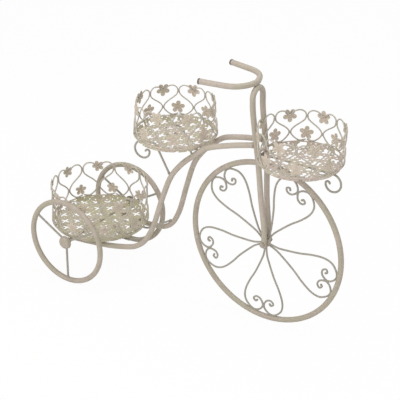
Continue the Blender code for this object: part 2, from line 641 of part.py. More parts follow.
def gallery_heart(name, radius, gallery_height, lean, flower_diameter, hearts):
    """One heart of a gallery about +X: a bent wire, the flower on its cleft and the
    flower that stands on its foot, welded into one piece."""
    foot_radius = radius - LIP_WIDTH / 2
    foot_height = TRAY_DEPTH + WELD_GAP + GALLERY_WIRE_RADIUS
    rise = gallery_height - GALLERY_WIRE_DIAMETER
    half_pitch = pi / hearts
    half_gap = GALLERY_WIRE_RADIUS + WELD_GAP / 2
    tilt = atan2(lean, rise)

    def on_wall(side_share, height_share, side):
        """Place of the wire's middle on the leaning wall of the gallery."""
        wall = foot_radius + lean * height_share
        inner = half_gap / wall
        aside = side * (inner + side_share * (half_pitch - 2 * inner))
        return Vector((wall * cos(aside), wall * sin(aside), foot_height + rise * height_share))

    def standing(outline, wall, angle, height):
        """Flower of this outline, upright at an angle and height and facing outwards."""
        flower = flat_plate(name + "_flower", outline, SHEET_THICKNESS)
        turn = Matrix.Rotation(angle + pi / 2, 4, "Z") @ Matrix.Rotation(pi / 2 + tilt, 4, "X")
        flower.data.transform(Matrix.Translation((wall * cos(angle), wall * sin(angle), height)) @ turn)
        return flower

    half = [on_wall(s, h, -1) for s, h in GALLERY_HEART_SHARES]
    other = [on_wall(s, h, 1) for s, h in reversed(GALLERY_HEART_SHARES)]
    places = half + [on_wall(0.0, CLEFT_HEIGHT_SHARE, 0)] + other
    lowest = [i for i, (_, height_share) in enumerate(GALLERY_HEART_SHARES) if height_share == 0]
    resting = [j * GALLERY_SPAN_STEPS for i in lowest for j in (i, len(places) - 1 - i)]
    path = thin_path(smooth_path(places, GALLERY_SPAN_STEPS), GALLERY_TURN_DEG, resting)
    wire = as_mesh(bar(name, path, GALLERY_WIRE_DIAMETER, WIRE_PAINT, None, 1))

    high = foot_height + rise * UPPER_FLOWER_HEIGHT_SHARE
    high_radius = foot_radius + lean * UPPER_FLOWER_HEIGHT_SHARE
    high_radius += GALLERY_WIRE_RADIUS - WELD_SINK + SHEET_THICKNESS / 2
    upper = standing(petal_outline(flower_diameter, 0.0), high_radius, 0.0, high)

    outline = petal_outline(flower_diameter, LOWER_FLOWER_TURN_DEG)
    foot_top = foot_height + rise * GALLERY_HEART_SHARES[0][1] + GALLERY_WIRE_RADIUS
    low = foot_top - WELD_SINK - min(up for _, up in outline)
    low_radius = foot_radius + lean * (low - foot_height) / rise
    lower = standing(outline, low_radius, half_pitch, low)
    return paint(fuse(wire, [upper, lower]), WIRE_PAINT)


def tray(name, centre_x, base, radius, gallery_height, lean, flower_diameter, hearts, first_node_deg, crosses):
    """Pierced pan of one tray, and the ring of hearts on its lip."""
    holder = empty_at(name + "_tray_centre", (centre_x, 0, base))
    floor_radius = radius - LIP_WIDTH / 2 - TRAY_FLARE
    wall_radius = radius - LIP_WIDTH + SHEET_THICKNESS
    under_lip = TRAY_DEPTH - SHEET_THICKNESS
    profile = [(0, SHEET_THICKNESS), (floor_radius - SHEET_THICKNESS, SHEET_THICKNESS),
               (wall_radius - SHEET_THICKNESS, TRAY_DEPTH), (radius, TRAY_DEPTH), (radius, under_lip),
               (wall_radius, under_lip), (floor_radius, 0), (0, 0)]
    pan = turned(name + "_tray", profile, TRAY_STEPS, SHEET_PAINT, holder)
    spots = [(0.0, 0.0)]
    for i in range(crosses):
        turn = radians(CROSS_TURN_DEG) + i * 2 * pi / crosses
        spots.append((floor_radius * CROSS_RING_SHARE * cos(turn), floor_radius * CROSS_RING_SHARE * sin(turn)))
    outline = cross_outline(CROSS_HOLE_LENGTH, CROSS_HOLE_WIDTH)
    punch = flat_plate(name + "_punch", outline, SHEET_THICKNESS + 2 * CUT_OVERRUN)
    for i, (x, y) in enumerate(spots):
        cutter = bpy.data.objects.new(name + "_tray_hole_" + str(i + 1), punch.data)
        cutter.location = (x, y, SHEET_THICKNESS / 2)
        cutter.rotation_euler = (0, 0, radians(CROSS_TURN_DEG))
        cut(pan, adopt(cutter, CUTTERS, holder))
    bpy.data.objects.remove(punch, do_unlink=True)

    pattern = gallery_heart(name + "_heart", radius, gallery_height, lean, flower_diameter, hearts)
    for i in range(hearts):
        heart = bpy.data.objects.new(name + "_tray_heart_" + str(i + 1), pattern.data)
        heart.rotation_euler = (0, 0, radians(first_node_deg) + (i + 0.5) * 2 * pi / hearts)
        adopt(heart, PARTS, holder)
    bpy.data.objects.remove(pattern, do_unlink=True)


front_tray_x = FRONT_AXLE_X + FRONT_TRAY_SETFORWARD + FRONT_TRAY_RADIUS
tray("front", front_tray_x, FRONT_TRAY_BASE, FRONT_TRAY_RADIUS, FRONT_GALLERY_HEIGHT, FRONT_GALLERY_LEAN,
     FRONT_FLOWER_DIAMETER, FRONT_HEARTS, FRONT_FIRST_NODE_DEG, FRONT_CROSSES)
middle_tray_x = FRONT_AXLE_X - MIDDLE_TRAY_SETBACK - MIDDLE_TRAY_RADIUS
middle_base = seat_height(middle_tray_x, MIDDLE_TRAY_RADIUS)
tray("middle", middle_tray_x, middle_base, MIDDLE_TRAY_RADIUS, MIDDLE_GALLERY_HEIGHT, MIDDLE_GALLERY_LEAN,
     MIDDLE_FLOWER_DIAMETER, MIDDLE_HEARTS, MIDDLE_FIRST_NODE_DEG, MIDDLE_CROSSES)
rear_tray_x = FRONT_AXLE_X - REAR_TRAY_SETBACK - REAR_TRAY_RADIUS
rear_base = max(seat_height(rear_tray_x, REAR_TRAY_RADIUS), REAR_WHEEL_RADIUS + REAR_AXLE_RADIUS + WELD_GAP)
tray("rear", rear_tray_x, rear_base, REAR_TRAY_RADIUS, REAR_GALLERY_HEIGHT, REAR_GALLERY_LEAN,
     REAR_FLOWER_DIAMETER, REAR_HEARTS, REAR_FIRST_NODE_DEG, REAR_CROSSES)

# Front bracket: a cross rod between the fork's legs, and a wire under the tray that
# curls down into a scroll at the front
SCROLL_MOVES = [(SCROLL_RADIUS_OUTER, -90), (SCROLL_RADIUS_MIDDLE, -90), (SCROLL_RADIUS_INNER, -90),
                (SCROLL_HOOK_RADIUS, -SCROLL_HOOK_DEG)]
bracket_z = FRONT_TRAY_BASE - WELD_GAP - BRACKET_WIRE_RADIUS
rod_x, rod_y = bent_leg_place(bracket_z)
rod_length = 2 * (rod_y - TUBE_RADIUS - WELD_GAP)
paint(cylinder("fork_cross_rod", CROSS_ROD_DIAMETER, rod_length, (rod_x, 0, bracket_z)), WIRE_PAINT)
wire_x = rod_x + CROSS_ROD_DIAMETER / 2 + WELD_GAP
scroll_x = front_tray_x + FRONT_TRAY_RADIUS + FRONT_SCROLL_OVERHANG - BRACKET_WIRE_RADIUS - SCROLL_RADIUS_OUTER
front_run = walk(0, [(scroll_x - wire_x,)] + SCROLL_MOVES, WIRE_TURN_DEG)
front_path = [Vector((wire_x + across, 0, bracket_z + up)) for across, up in front_run]
bar("front_tray_bracket", front_path, BRACKET_WIRE_DIAMETER, WIRE_PAINT, None, 1)


def station_on(route, share):
    """Point of a tube's middle line at a share of its length in X, and its direction there."""
    wanted = route[0].x + (route[-1].x - route[0].x) * share
    for here, after in zip(route, route[1:]):
        if after.x <= wanted:
            between = (here.x - wanted) / (here.x - after.x)
            return here.lerp(after, between), (after - here).normalized()
    return route[-1], (route[-1] - route[-2]).normalized()


def clear_start(station, tangent, away):
    """Where a square-cut wire end meets the side of a tube that it leaves at a slant."""
    slant = away.angle(tangent)
    slant = min(slant, pi - slant)
    return station + away * ((TUBE_RADIUS + WELD_GAP + BRACKET_WIRE_RADIUS * cos(slant)) / sin(slant))


# Middle brackets, one in each frame tube's plane: a strut from the tube up to the tray,
# a run under it, and a scroll hanging behind
def middle_bracket(side_name, side):
    """Wire bracket of the middle tray on one side."""
    station, tangent = station_on(frame_routes[side_name], MIDDLE_STRUT_STATION_SHARE)
    splay, lean = radians(FRAME_SPLAY_DEG), radians(MIDDLE_STRUT_LEAN_DEG)
    back = Vector((-cos(splay), side * sin(splay), 0))
    rise = Vector((0, 0, 1))
    start = clear_start(station, tangent, back * cos(lean) + rise * sin(lean))
    climb = middle_base - WELD_GAP - BRACKET_WIRE_RADIUS - start.z
    strut = (climb - BRACKET_BEND_RADIUS * (1 - cos(lean))) / sin(lean)
    bend_end = strut * cos(lean) + BRACKET_BEND_RADIUS * sin(lean)
    offset = Vector((start.x - middle_tray_x, start.y, 0))
    along = offset.dot(back)
    edge = sqrt(along ** 2 - offset.length_squared + MIDDLE_TRAY_RADIUS ** 2) - along
    scroll_start = edge + MIDDLE_SCROLL_OVERHANG - SCROLL_RADIUS_OUTER
    moves = [(strut,), (BRACKET_BEND_RADIUS, -MIDDLE_STRUT_LEAN_DEG), (scroll_start - bend_end,)] + SCROLL_MOVES
    run = walk(MIDDLE_STRUT_LEAN_DEG, moves, WIRE_TURN_DEG)
    path = [start + back * across + rise * up for across, up in run]
    bar("middle_tray_bracket_" + side_name, path, BRACKET_WIRE_DIAMETER, WIRE_PAINT, None, 1)


# Rear brackets: a strut from each frame tube down to the tray, and a run under it to the axle
def rear_bracket(side_name, side):
    """Wire bracket of the rear tray on one side."""
    station, tangent = station_on(frame_routes[side_name], REAR_STRUT_STATION_SHARE)
    run_z = rear_base - WELD_GAP - BRACKET_WIRE_RADIUS
    run_y = side * REAR_BRACKET_HALF_GAP
    floor_radius = REAR_TRAY_RADIUS - LIP_WIDTH / 2 - TRAY_FLARE
    tray_front = rear_tray_x + sqrt(floor_radius ** 2 - REAR_BRACKET_HALF_GAP ** 2)
    corner = Vector((tray_front + BRACKET_BEND_RADIUS, run_y, run_z))
    away = (corner - station).normalized()
    end = Vector((REAR_AXLE_X + REAR_AXLE_RADIUS + WELD_GAP, run_y, run_z))
    level = (end - corner).normalized()
    path = [clear_start(station, tangent, away)]
    for i in range(4):
        t = i / 3
        leaving = corner - away * BRACKET_BEND_RADIUS * (1 - t)
        arriving = corner + level * BRACKET_BEND_RADIUS * t
        path.append(leaving.lerp(arriving, t))
    bar("rear_tray_bracket_" + side_name, path + [end], BRACKET_WIRE_DIAMETER, WIRE_PAINT, None, 1)


for side_name, side in (("right", -1), ("left", 1)):
    middle_bracket(side_name, side)
    rear_bracket(side_name, side)
bpy.context.view_layer.update()
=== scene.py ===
"""Looks of the bicycle planter: bent tube, wire and pierced pans in a worn cream coat."""

from collections import namedtuple
from math import atan2, cos, pi, radians, sin, sqrt, tan

import bpy
import numpy as np
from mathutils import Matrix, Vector


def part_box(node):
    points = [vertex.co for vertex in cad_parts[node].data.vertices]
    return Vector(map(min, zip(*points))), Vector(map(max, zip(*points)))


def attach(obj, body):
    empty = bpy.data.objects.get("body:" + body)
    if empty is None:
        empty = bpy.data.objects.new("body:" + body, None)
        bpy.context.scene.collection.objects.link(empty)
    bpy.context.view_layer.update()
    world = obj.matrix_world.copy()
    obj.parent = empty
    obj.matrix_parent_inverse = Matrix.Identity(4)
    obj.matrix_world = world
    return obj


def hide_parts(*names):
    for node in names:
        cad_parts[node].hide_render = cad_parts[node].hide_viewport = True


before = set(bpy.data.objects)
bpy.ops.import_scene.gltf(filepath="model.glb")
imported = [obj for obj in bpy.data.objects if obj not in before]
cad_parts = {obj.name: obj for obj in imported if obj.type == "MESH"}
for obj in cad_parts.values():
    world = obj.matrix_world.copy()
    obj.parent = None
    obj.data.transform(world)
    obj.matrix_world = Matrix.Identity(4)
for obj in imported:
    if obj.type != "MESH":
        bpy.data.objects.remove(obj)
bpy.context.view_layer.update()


# Studio
# A plain pale floor and a white surround.  Soft lamps stand in front, to the left and
# overhead.  The camera looks down a little, from the planter's right and front.
CAMERA_PLACE = (1.63645, -2.3515, 1.7)
CAMERA_AIM = (0.01725, 0.0, 0.2548)
SENSOR_WIDTH = 36.0
LENS = 124.92
SIGHT = 60.0
SHARP_FROM = radians(50.0)

studio = bpy.context.scene
studio.view_settings.view_transform = "Standard"


def turned_to(aim, place):
    """Turn of a camera or a lamp that stands at a place and looks at the aim."""
    return (Vector(aim) - Vector(place)).to_track_quat("-Z", "Y").to_euler()


camera = bpy.data.objects.new("camera", bpy.data.cameras.new("camera"))
studio.collection.objects.link(camera)
camera.location = CAMERA_PLACE
camera.rotation_euler = turned_to(CAMERA_AIM, CAMERA_PLACE)
camera.data.sensor_width = SENSOR_WIDTH
camera.data.lens = LENS
camera.data.clip_end = SIGHT
studio.camera = camera


class Socket:
    """One output of a finish's nodes.  Arithmetic on it adds Math nodes."""

    def __init__(self, finish, plug):
        self.finish = finish
        self.plug = plug

    def math(self, operation, first, second):
        """One operation on two numbers or sockets."""
        return self.finish.node("ShaderNodeMath", {"operation": operation}, {0: first, 1: second})

    def __add__(self, other):
        return self.math("ADD", self, other)

    def __radd__(self, other):
        return self.math("ADD", other, self)

    def __mul__(self, other):
        return self.math("MULTIPLY", self, other)

    def __rmul__(self, other):
        return self.math("MULTIPLY", other, self)

    def clear_above(self, low, high):
        """0 below low, 1 above high, and a smooth rise between them."""
        settings = {"interpolation_type": "SMOOTHSTEP"}
        values = {"Value": self, "From Min": low, "From Max": high}
        return self.finish.node("ShaderNodeMapRange", settings, values)


class Finish:
    """A material and its nodes, or a world's, with the shader that sockets are joined to."""

    def __init__(self, name, world=None):
        self.material = world or bpy.data.materials.new(name)
        self.material.use_nodes = True
        self.tree = self.material.node_tree
        self.shader = self.tree.nodes["Background" if world else "Principled BSDF"]

    def join(self, target, value):
        """Link a socket, or set a plain number or colour."""
        if isinstance(value, Socket):
            self.tree.links.new(value.plug, target)
        elif isinstance(value, tuple) and len(value) == 3 and target.type == "RGBA":
            target.default_value = (*value, 1.0)
        else:
            target.default_value = value

    def node(self, kind, settings=None, values=None, out=0):
        """Add a node: its settings first, then the values or links of its sockets."""
        made = self.tree.nodes.new(kind)
        for setting, value in (settings or {}).items():
            setattr(made, setting, value)
        for key, value in (values or {}).items():
            self.join(made.inputs[key], value)
        return Socket(self, made.outputs[out])

    def mix(self, share, first, second):
        """Colour between first, at share 0, and second, at share 1."""
        return self.node("ShaderNodeMix", {"data_type": "RGBA"}, {0: share, 6: first, 7: second}, 2)

    def place(self):
        """Object coordinates, in metres."""
        return self.node("ShaderNodeTexCoord", None, None, "Object")

    def wear(self):
        """The wear that a piece's mesh carries, from 0 to 1."""
        return self.node("ShaderNodeAttribute", {"attribute_name": "wear"}, None, "Fac")

    def cloud(self, place, grain, detail=2.0, roughness=0.5):
        """Noise whose lumps are about grain metres across."""
        values = {"Vector": place, "Scale": 1.0 / grain, "Detail": detail, "Roughness": roughness}
        return self.node("ShaderNodeTexNoise", None, values)

    def bump(self, height, depth, strength):
        """Normal of a surface raised by height times depth metres."""
        values = {"Strength": strength, "Distance": depth, "Height": height}
        return self.node("ShaderNodeBump", None, values)

    def rays(self):
        """Whether a ray comes from the camera, straight or through glass, or from a mirror."""
        seen, mirrored, seen_through = (
            self.node("ShaderNodeLightPath", None, None, kind)
            for kind in ("Is Camera Ray", "Is Glossy Ray", "Is Transmission Ray"))
        return seen + seen_through, mirrored

    def shade(self, **values):
        """Set or link the shader's own sockets, with _ for a space."""
        for name, value in values.items():
            self.join(self.shader.inputs[name.replace("_", " ")], value)
        return self.material


def grid_faces(rows, columns, rows_meet=False, columns_meet=False):
    """Four-sided faces of a grid whose corners are numbered row by row.  The last row may
    meet the first one, and the last column the first one."""
    row, column = np.meshgrid(np.arange(rows - (not rows_meet)),
                              np.arange(columns - (not columns_meet)), indexing="ij")
    after, beside = (row + 1) % rows * columns, (column + 1) % columns
    row = row * columns
    faces = np.stack([row + column, row + beside, after + beside, after + column], -1)
    return faces.reshape(-1, 4)


def sheet_mesh(name, corners, faces):
    """A mesh object from corners and faces, shaded smooth but for its sharp edges."""
    mesh = bpy.data.meshes.new(name)
    mesh.from_pydata(corners.tolist(), [], faces)
    mesh.validate()
    mesh.shade_smooth()
    mesh.set_sharp_from_angle(angle=SHARP_FROM)
    made = bpy.data.objects.new(name, mesh)
    studio.collection.objects.link(made)
    return made


# The floor is a wide sheet, flat for a share of its length, then curved, then upright.
FLOOR_HALF = 9.0
FLOOR_BACK = 3.0
FLOOR_DROP = 0.0006
FLAT_SHARE = 0.6
CURVE_SHARE = 0.25
CURVE_RADIUS = 3.0
WALL_RISE = 40.0
FLOOR_GRID = (60, 19)
PAPER_WHITE = 0.95
PAPER_MIRRORED = 0.5

across, along = np.meshgrid(np.linspace(-FLOOR_HALF, FLOOR_HALF, FLOOR_GRID[1]),
                            np.linspace(0.0, 1.0, FLOOR_GRID[0]))
turn = np.clip((along - FLAT_SHARE) / CURVE_SHARE, 0, 1) * pi / 2
flat_y = along / FLAT_SHARE * (FLOOR_HALF + FLOOR_BACK) - FLOOR_HALF
floor_y = np.minimum(flat_y, FLOOR_BACK) + CURVE_RADIUS * np.sin(turn)
wall_z = np.clip(along - FLAT_SHARE - CURVE_SHARE, 0, 1) * WALL_RISE
floor_z = CURVE_RADIUS * (1 - np.cos(turn)) + wall_z - FLOOR_DROP
floor_points = np.stack([across, floor_y, floor_z], -1).reshape(-1, 3)
floor = sheet_mesh("studio_floor", floor_points, grid_faces(*FLOOR_GRID).tolist())

paper = Finish("studio_paper")
paper.shade(Base_Color=(0.88, 0.88, 0.87), Roughness=0.9, Specular_IOR_Level=0.1)
glow = paper.node("ShaderNodeEmission", None, {"Color": (1.0, 1.0, 1.0), "Strength": 1.0})
seen, mirrored = paper.rays()
mixed = paper.node("ShaderNodeMixShader", None, {
    0: seen * PAPER_WHITE + mirrored * PAPER_MIRRORED,
    1: Socket(paper, paper.shader.outputs[0]),
    2: glow,
})
paper.join(paper.tree.nodes["Material Output"].inputs["Surface"], mixed)
floor.data.materials.append(paper.material)

ROOM_LIGHT = 0.54
ROOM_MIRRORED = 0.2
studio.world = bpy.data.worlds.new("studio_surround")
surround = Finish("studio_surround", studio.world)
seen, mirrored = surround.rays()
surround.shade(Color=(1.0, 1.0, 1.0),
               Strength=seen * (1.0 - ROOM_LIGHT) + mirrored * ROOM_MIRRORED + ROOM_LIGHT)

# Each lamp has a place, a width in metres, a power in watts and a colour.
LAMPS = {
    "key_lamp": ((-1.5, -2.7, 2.5), 2.2, 46.0, (1.0, 0.99, 0.975)),
    "fill_lamp": ((2.1, -2.4, 1.4), 2.4, 24.0, (0.98, 0.99, 1.0)),
    "top_lamp": ((0.1, 0.5, 3.0), 2.6, 31.0, (1.0, 1.0, 1.0)),
}
LAMP_AIM = (0.0, 0.0, 0.25)
for lamp_name, (lamp_place, width, watts, colour) in LAMPS.items():
    lamp = bpy.data.objects.new(lamp_name, bpy.data.lights.new(lamp_name, "AREA"))
    lamp.data.shape = "DISK"
    lamp.data.size = width
    lamp.data.energy = watts
    lamp.data.color = colour
    lamp.location = lamp_place
    lamp.rotation_euler = turned_to(LAMP_AIM, lamp_place)
    studio.collection.objects.link(lamp)


# Frame tubes
# Two tubes of one bend run from the fork back and down to the rear axle.  They are round
# steel tube, bent cold and coated in cream powder paint with a worn antique glaze.
TUBE = 0.006  # radius of the bare tube, which the places follow
COATED_TUBE = 0.0064  # radius over the coat, which is drawn
TUBE_SIDES = 24
HEAD_HEIGHT = 0.441
HEAD_HALF_GAP = 0.019
HEAD_SLANT = 0.21  # how far a head passes its middle line, in radii
SPLAY = radians(8.05)
DOME_SHARES = (0.0, 0.35, 0.68, 0.9)
SWELL_WEAR = 1.5
FRAME_TUBE_SHARES = (
    (0.0, 1.0), (0.11, 0.967), (0.22, 0.922), (0.27, 0.884), (0.323, 0.822),
    (0.377, 0.752), (0.435, 0.641), (0.484, 0.46), (0.5225, 0.287), (0.546, 0.2025),
    (0.5825, 0.115), (0.6255, 0.062), (0.677, 0.033), (0.791, 0.007), (0.92, 0.0), (1.0, 0.0),
)


def smooth_line(points, steps):
    """Catmull-Rom curve: each span is half of (2b + (c-a)t + (2a-5b+4c-d)t2 + (3b-a-3c+d)t3)."""
    points = np.asarray(points, float)
    whole = np.vstack([2 * points[:1] - points[1:2], points, 2 * points[-1:] - points[-2:-1]])
    a, b, c, d = whole[:-3, None], whole[1:-2, None], whole[2:-1, None], whole[3:, None]
    t = (np.arange(steps) / steps)[None, :, None]
    line = 2 * b + (c - a) * t + (2 * a - 5 * b + 4 * c - d) * t ** 2
    line = 0.5 * (line + (3 * b - a - 3 * c + d) * t ** 3)
    return np.vstack([line.reshape(-1, points.shape[1]), points[-1:]])


def even_line(line, spacing):
    """The same line with its points spacing apart, measured along it."""
    length = np.concatenate([[0], np.cumsum(np.linalg.norm(np.diff(line, axis=0), axis=1))])
    wanted = np.linspace(0, length[-1], max(3, int(round(length[-1] / spacing)) + 1))
    return np.stack([np.interp(wanted, length, column) for column in line.T], -1)


def unit(vectors):
    """The same directions with a length of 1."""
    return vectors / np.linalg.norm(vectors, axis=-1, keepdims=True)


def weld(distance, swell, width):
    """Swell of a bead of weld: swell times e to the minus square of distance over width."""
    return swell * np.exp(-(distance / width) ** 2)


def weld_at_start(line, swell, width):
    """Swell of a bar near its first point."""
    return weld(np.linalg.norm(line - line[0], axis=1), swell, width)


def fan(tip, ring):
    """Three-sided faces from one corner, the tip, to each side of a ring of corners."""
    return np.stack([np.full(len(ring), tip), ring, np.roll(ring, -1)], -1)


def round_bar(line, radius, side, sides, closed=False, swell=0.0, nose=1.0):
    """Corners, faces and wear of a round bar: at angle a round the line, the surface is the
    line plus radius times (cos a times side plus sin a times its partner).  The ends are
    domes, whose height is nose times the radius.  swell is a share added to the radius."""
    side = np.broadcast_to(np.asarray(side, float), line.shape)
    swell = np.broadcast_to(swell, len(line))
    radii = radius * (1 + swell)
    if closed:
        ahead = unit(np.roll(line, -1, 0) - np.roll(line, 1, 0))
    else:
        ahead = unit(np.gradient(line, axis=0))
        lift = np.array(DOME_SHARES)
        back = radius * nose * np.sqrt(1 - lift ** 2)[:, None]
        line = np.vstack([line[0] - ahead[0] * back, line, line[-1] + ahead[-1] * back[::-1]])
        radii = np.concatenate([radii[0] * lift, radii, radii[-1] * lift[::-1]])
        swell = np.pad(swell, len(lift))
        both_ends = ((len(lift), len(lift)), (0, 0))
        ahead, side = (np.pad(rows, both_ends, mode="edge") for rows in (ahead, side))
    side = unit(side - (side * ahead).sum(1, keepdims=True) * ahead)
    partner = np.cross(ahead, side)
    angle = np.linspace(0, 2 * pi, sides, endpoint=False)[None, :, None]
    ring = np.cos(angle) * side[:, None] + np.sin(angle) * partner[:, None]
    corners = (line[:, None] + radii[:, None, None] * ring).reshape(-1, 3)
    faces = grid_faces(len(line), sides, closed, True).tolist()
    worn = np.repeat(np.clip(swell * SWELL_WEAR, 0, 1), sides)
    if not closed:
        tip, first_ring = len(corners), np.arange(sides)
        faces += fan(tip, first_ring)[:, [0, 2, 1]].tolist()
        faces += fan(tip + 1, first_ring + tip - sides).tolist()
        corners = np.vstack([corners, line[0], line[-1]])
        worn = np.append(worn, [0, 0])
    return corners, faces, worn


def fit(name, shape, finish, node, body="frame"):
    """Make the piece, give it its finish, and let it stand for its CAD node."""
    corners, faces, worn = shape
    piece = sheet_mesh(name, corners, faces)
    wear = piece.data.attributes.new("wear", "FLOAT", "POINT")
    wear.data.foreach_set("value", np.asarray(worn, np.float32))
    piece.data.materials.append(finish)
    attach(piece, body)
    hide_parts(node)
    return piece


def coat(name, cream, taupe, tint, rub, lumps, peel, roughness=0.48, rubbed=0.58):
    """Powder coat: cream clouded with taupe in lumps, drifting to a tint, with orange peel,
    pale dust, and flecks where noise passes rubbed.  Worn places are rubbed brown."""
    finish = Finish(name)
    place, wear = finish.place(), finish.wear()
    clouds = finish.cloud(place, lumps, 4.0, 0.6).clear_above(0.34, 0.68)
    drift = finish.cloud(place, lumps * 3.3).clear_above(0.42, 0.62)
    flecks = finish.cloud(place, lumps / 9, 3.0, 0.65).clear_above(rubbed, rubbed + 0.1)
    dust = finish.cloud(place, lumps / 30).clear_above(0.45, 0.75)
    deep_rub = tuple(0.55 * channel for channel in rub)
    pale_cream = tuple(min(1.0, 1.18 * channel) for channel in cream)
    base = finish.mix(clouds, cream, taupe)
    base = finish.mix(drift * 0.7, base, tint)
    base = finish.mix((flecks * 0.38 + wear * 0.8).clear_above(0.0, 1.0), base, rub)
    base = finish.mix((wear + flecks * 0.3).clear_above(0.65, 1.15), base, deep_rub)
    base = finish.mix(dust * 0.2, base, pale_cream)
    skin = finish.cloud(place, peel) * 0.5 + finish.cloud(place, peel * 5) * 0.5
    normal = finish.bump(skin + clouds * 0.15, peel * 0.16, 0.55)
    gloss_loss = clouds * 0.1 + flecks * 0.08 + roughness
    return finish.shade(Base_Color=base, Roughness=gloss_loss, Normal=normal)


tube_coat = coat("cream_coat_on_tube", (0.49, 0.42, 0.362), (0.425, 0.364, 0.302),
                 (0.435, 0.394, 0.305), (0.28, 0.225, 0.165), lumps=0.026, peel=0.0011, rubbed=0.62)


def frame_tube_line(side):
    """Middle line of a frame tube: shares of its length and of its rise, in an upright
    plane that splays towards the back."""
    low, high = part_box("frame_tube_right")
    tail_z = low.z + TUBE
    head_x = high.x - TUBE * HEAD_SLANT
    back, up = np.array(FRAME_TUBE_SHARES).T
    behind = (head_x - low.x) * back
    places = np.stack([head_x - behind, side * (HEAD_HALF_GAP + behind * tan(SPLAY)),
                       tail_z + (HEAD_HEIGHT - tail_z) * up], -1)
    return smooth_line(places, 10)


SIDES = (("right", -1), ("left", 1))
for hand, side in SIDES:
    route = even_line(frame_tube_line(side), 0.0035)
    plane = np.array([sin(SPLAY) * side, cos(SPLAY), 0.0])
    bead = weld_at_start(route, 0.16, 0.0035)
    shape = round_bar(route, COATED_TUBE, plane, TUBE_SIDES, swell=bead, nose=0.35)
    fit("bent_frame_tube_" + hand, shape, tube_coat, "frame_tube_" + hand)


# Fork and handlebar
# The fork is one tube bent over the big wheel to an upside-down U.  The handlebar is
# welded across its crown, bends back on both sides, and has a push-in plug in each end.
TOUCH = 0.0003  # gap that pieces keep where they touch
FORK_RAKE = 0.0294
CROWN_POINTS = 25
MIRRORED = (1, -1, 1)
ALONG_X, ALONG_Y, ALONG_Z = np.eye(3)
# Fork leg from the axle up: shares of its height, of its rake to the rear and of its spread
FORK_LEG_SHARES = (
    (0.0, 0.0, 0.0), (0.1, 0.0, 0.05), (0.296, 0.27, 0.29), (0.53, 0.46, 0.72),
    (0.748, 0.8, 0.89), (0.869, 0.97, 0.96), (0.94, 1.0, 1.0),
)


def measured(node):
    """Middle of a CAD node's box, and its length each way."""
    low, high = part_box(node)
    return np.array((low + high) / 2), np.array(high - low)


axle, rim_extent = measured("front_rim")
hub_half = measured("front_hub")[1][1] / 2
fork_low, fork_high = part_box("fork")
crown_top = fork_high.z - TUBE
crown_half = (fork_high.y - fork_low.y) / 2 - TUBE
straight_top = crown_top - crown_half
leg_gap = hub_half + TOUCH + COATED_TUBE


def fork_line():
    """Middle line of the fork: a table of shares for each leg, and a half circle between."""
    share, rake, spread = np.array(FORK_LEG_SHARES).T
    height = axle[2] + share * (crown_top - axle[2])
    gap = leg_gap + (crown_half - leg_gap) * spread
    leg = np.stack([axle[0] - FORK_RAKE * rake, gap, height], -1)[height < straight_top]
    leg = smooth_line(np.vstack([[axle[0], leg_gap, fork_low.z], leg]), 8)
    turn = np.linspace(0, pi, CROWN_POINTS)
    crown = np.stack([np.full(CROWN_POINTS, axle[0] - FORK_RAKE), crown_half * np.cos(turn),
                      straight_top + crown_half * np.sin(turn)], -1)
    return np.vstack([leg[:-1], crown, leg[-2::-1] * MIRRORED])


fork = round_bar(even_line(fork_line(), 0.003), COATED_TUBE, ALONG_X, TUBE_SIDES, nose=0.25)
fit("bent_fork", fork, tube_coat, "fork")

BAR_LENGTH = 0.1035
BAR_HALF_WIDTH = 0.0635
LEFT_ARM_LIFT = 0.05  # rise of the left arm for each metre outwards
CROWN_SHOULDER = 0.009  # how far beside the middle the welds lie
# Half of the handlebar from its front: shares of its length and of its half width
HANDLEBAR_SHARES = (
    (0.0, 0.0), (0.047, 0.3), (0.124, 0.53), (0.245, 0.72), (0.416, 0.837), (0.562, 0.88),
    (0.76, 0.936), (1.0, 1.0),
)

bar_low, bar_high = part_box("handlebar")
back, out = np.array(HANDLEBAR_SHARES).T
arm = np.stack([bar_high.x - TUBE - BAR_LENGTH * back, BAR_HALF_WIDTH * out,
                np.full(len(back), (bar_low.z + bar_high.z) / 2)], -1)
bar_route = even_line(smooth_line(np.vstack([arm[:0:-1] * MIRRORED, arm]), 10), 0.003)
bar_route[:, 2] += LEFT_ARM_LIFT * np.maximum(bar_route[:, 1], 0.0)
from_middle = np.linalg.norm(bar_route - bar_route[len(bar_route) // 2], axis=1)
# Beside the crown the bar swells into weld beads whose wear darkens the coat: partly the welds, partly
# painted shade in the wedge between the bar and the crown.
bead = weld(from_middle - CROWN_SHOULDER, 0.1, 0.003)
fit("bent_handlebar", round_bar(bar_route, COATED_TUBE, ALONG_Z, TUBE_SIDES, swell=bead, nose=0.05),
    tube_coat, "handlebar")

plastic = Finish("grey_brown_plug")
grain = plastic.cloud(plastic.place(), 0.0006, 3.0, 0.55)
plug_tone = plastic.mix(grain.clear_above(0.35, 0.7), (0.34, 0.31, 0.275), (0.42, 0.38, 0.33))
plug_tone = plastic.mix(plastic.wear(), plug_tone, (0.13, 0.11, 0.1))
plastic.shade(Base_Color=plug_tone, Roughness=grain * 0.15 + 0.5,
              Normal=plastic.bump(grain, 0.0002, 0.5))

# Plug from its inner face to its dished end: radius, height and wear, which darkens its lip
PLUG_PROFILE = np.array((
    (0.0, 0.0, 1.0), (0.0066, 0.0, 1.0), (0.0068, 0.0008, 1.0), (0.0068, 0.0028, 1.0),
    (0.0065, 0.0039, 1.0), (0.0056, 0.0043, 0.9), (0.0049, 0.004, 0.7), (0.0045, 0.0034, 0.3),
    (0.003, 0.0033, 0.0), (0.0, 0.0034, 0.0),
))
OFF_AXIS = (0.31, 0.52, 0.79)


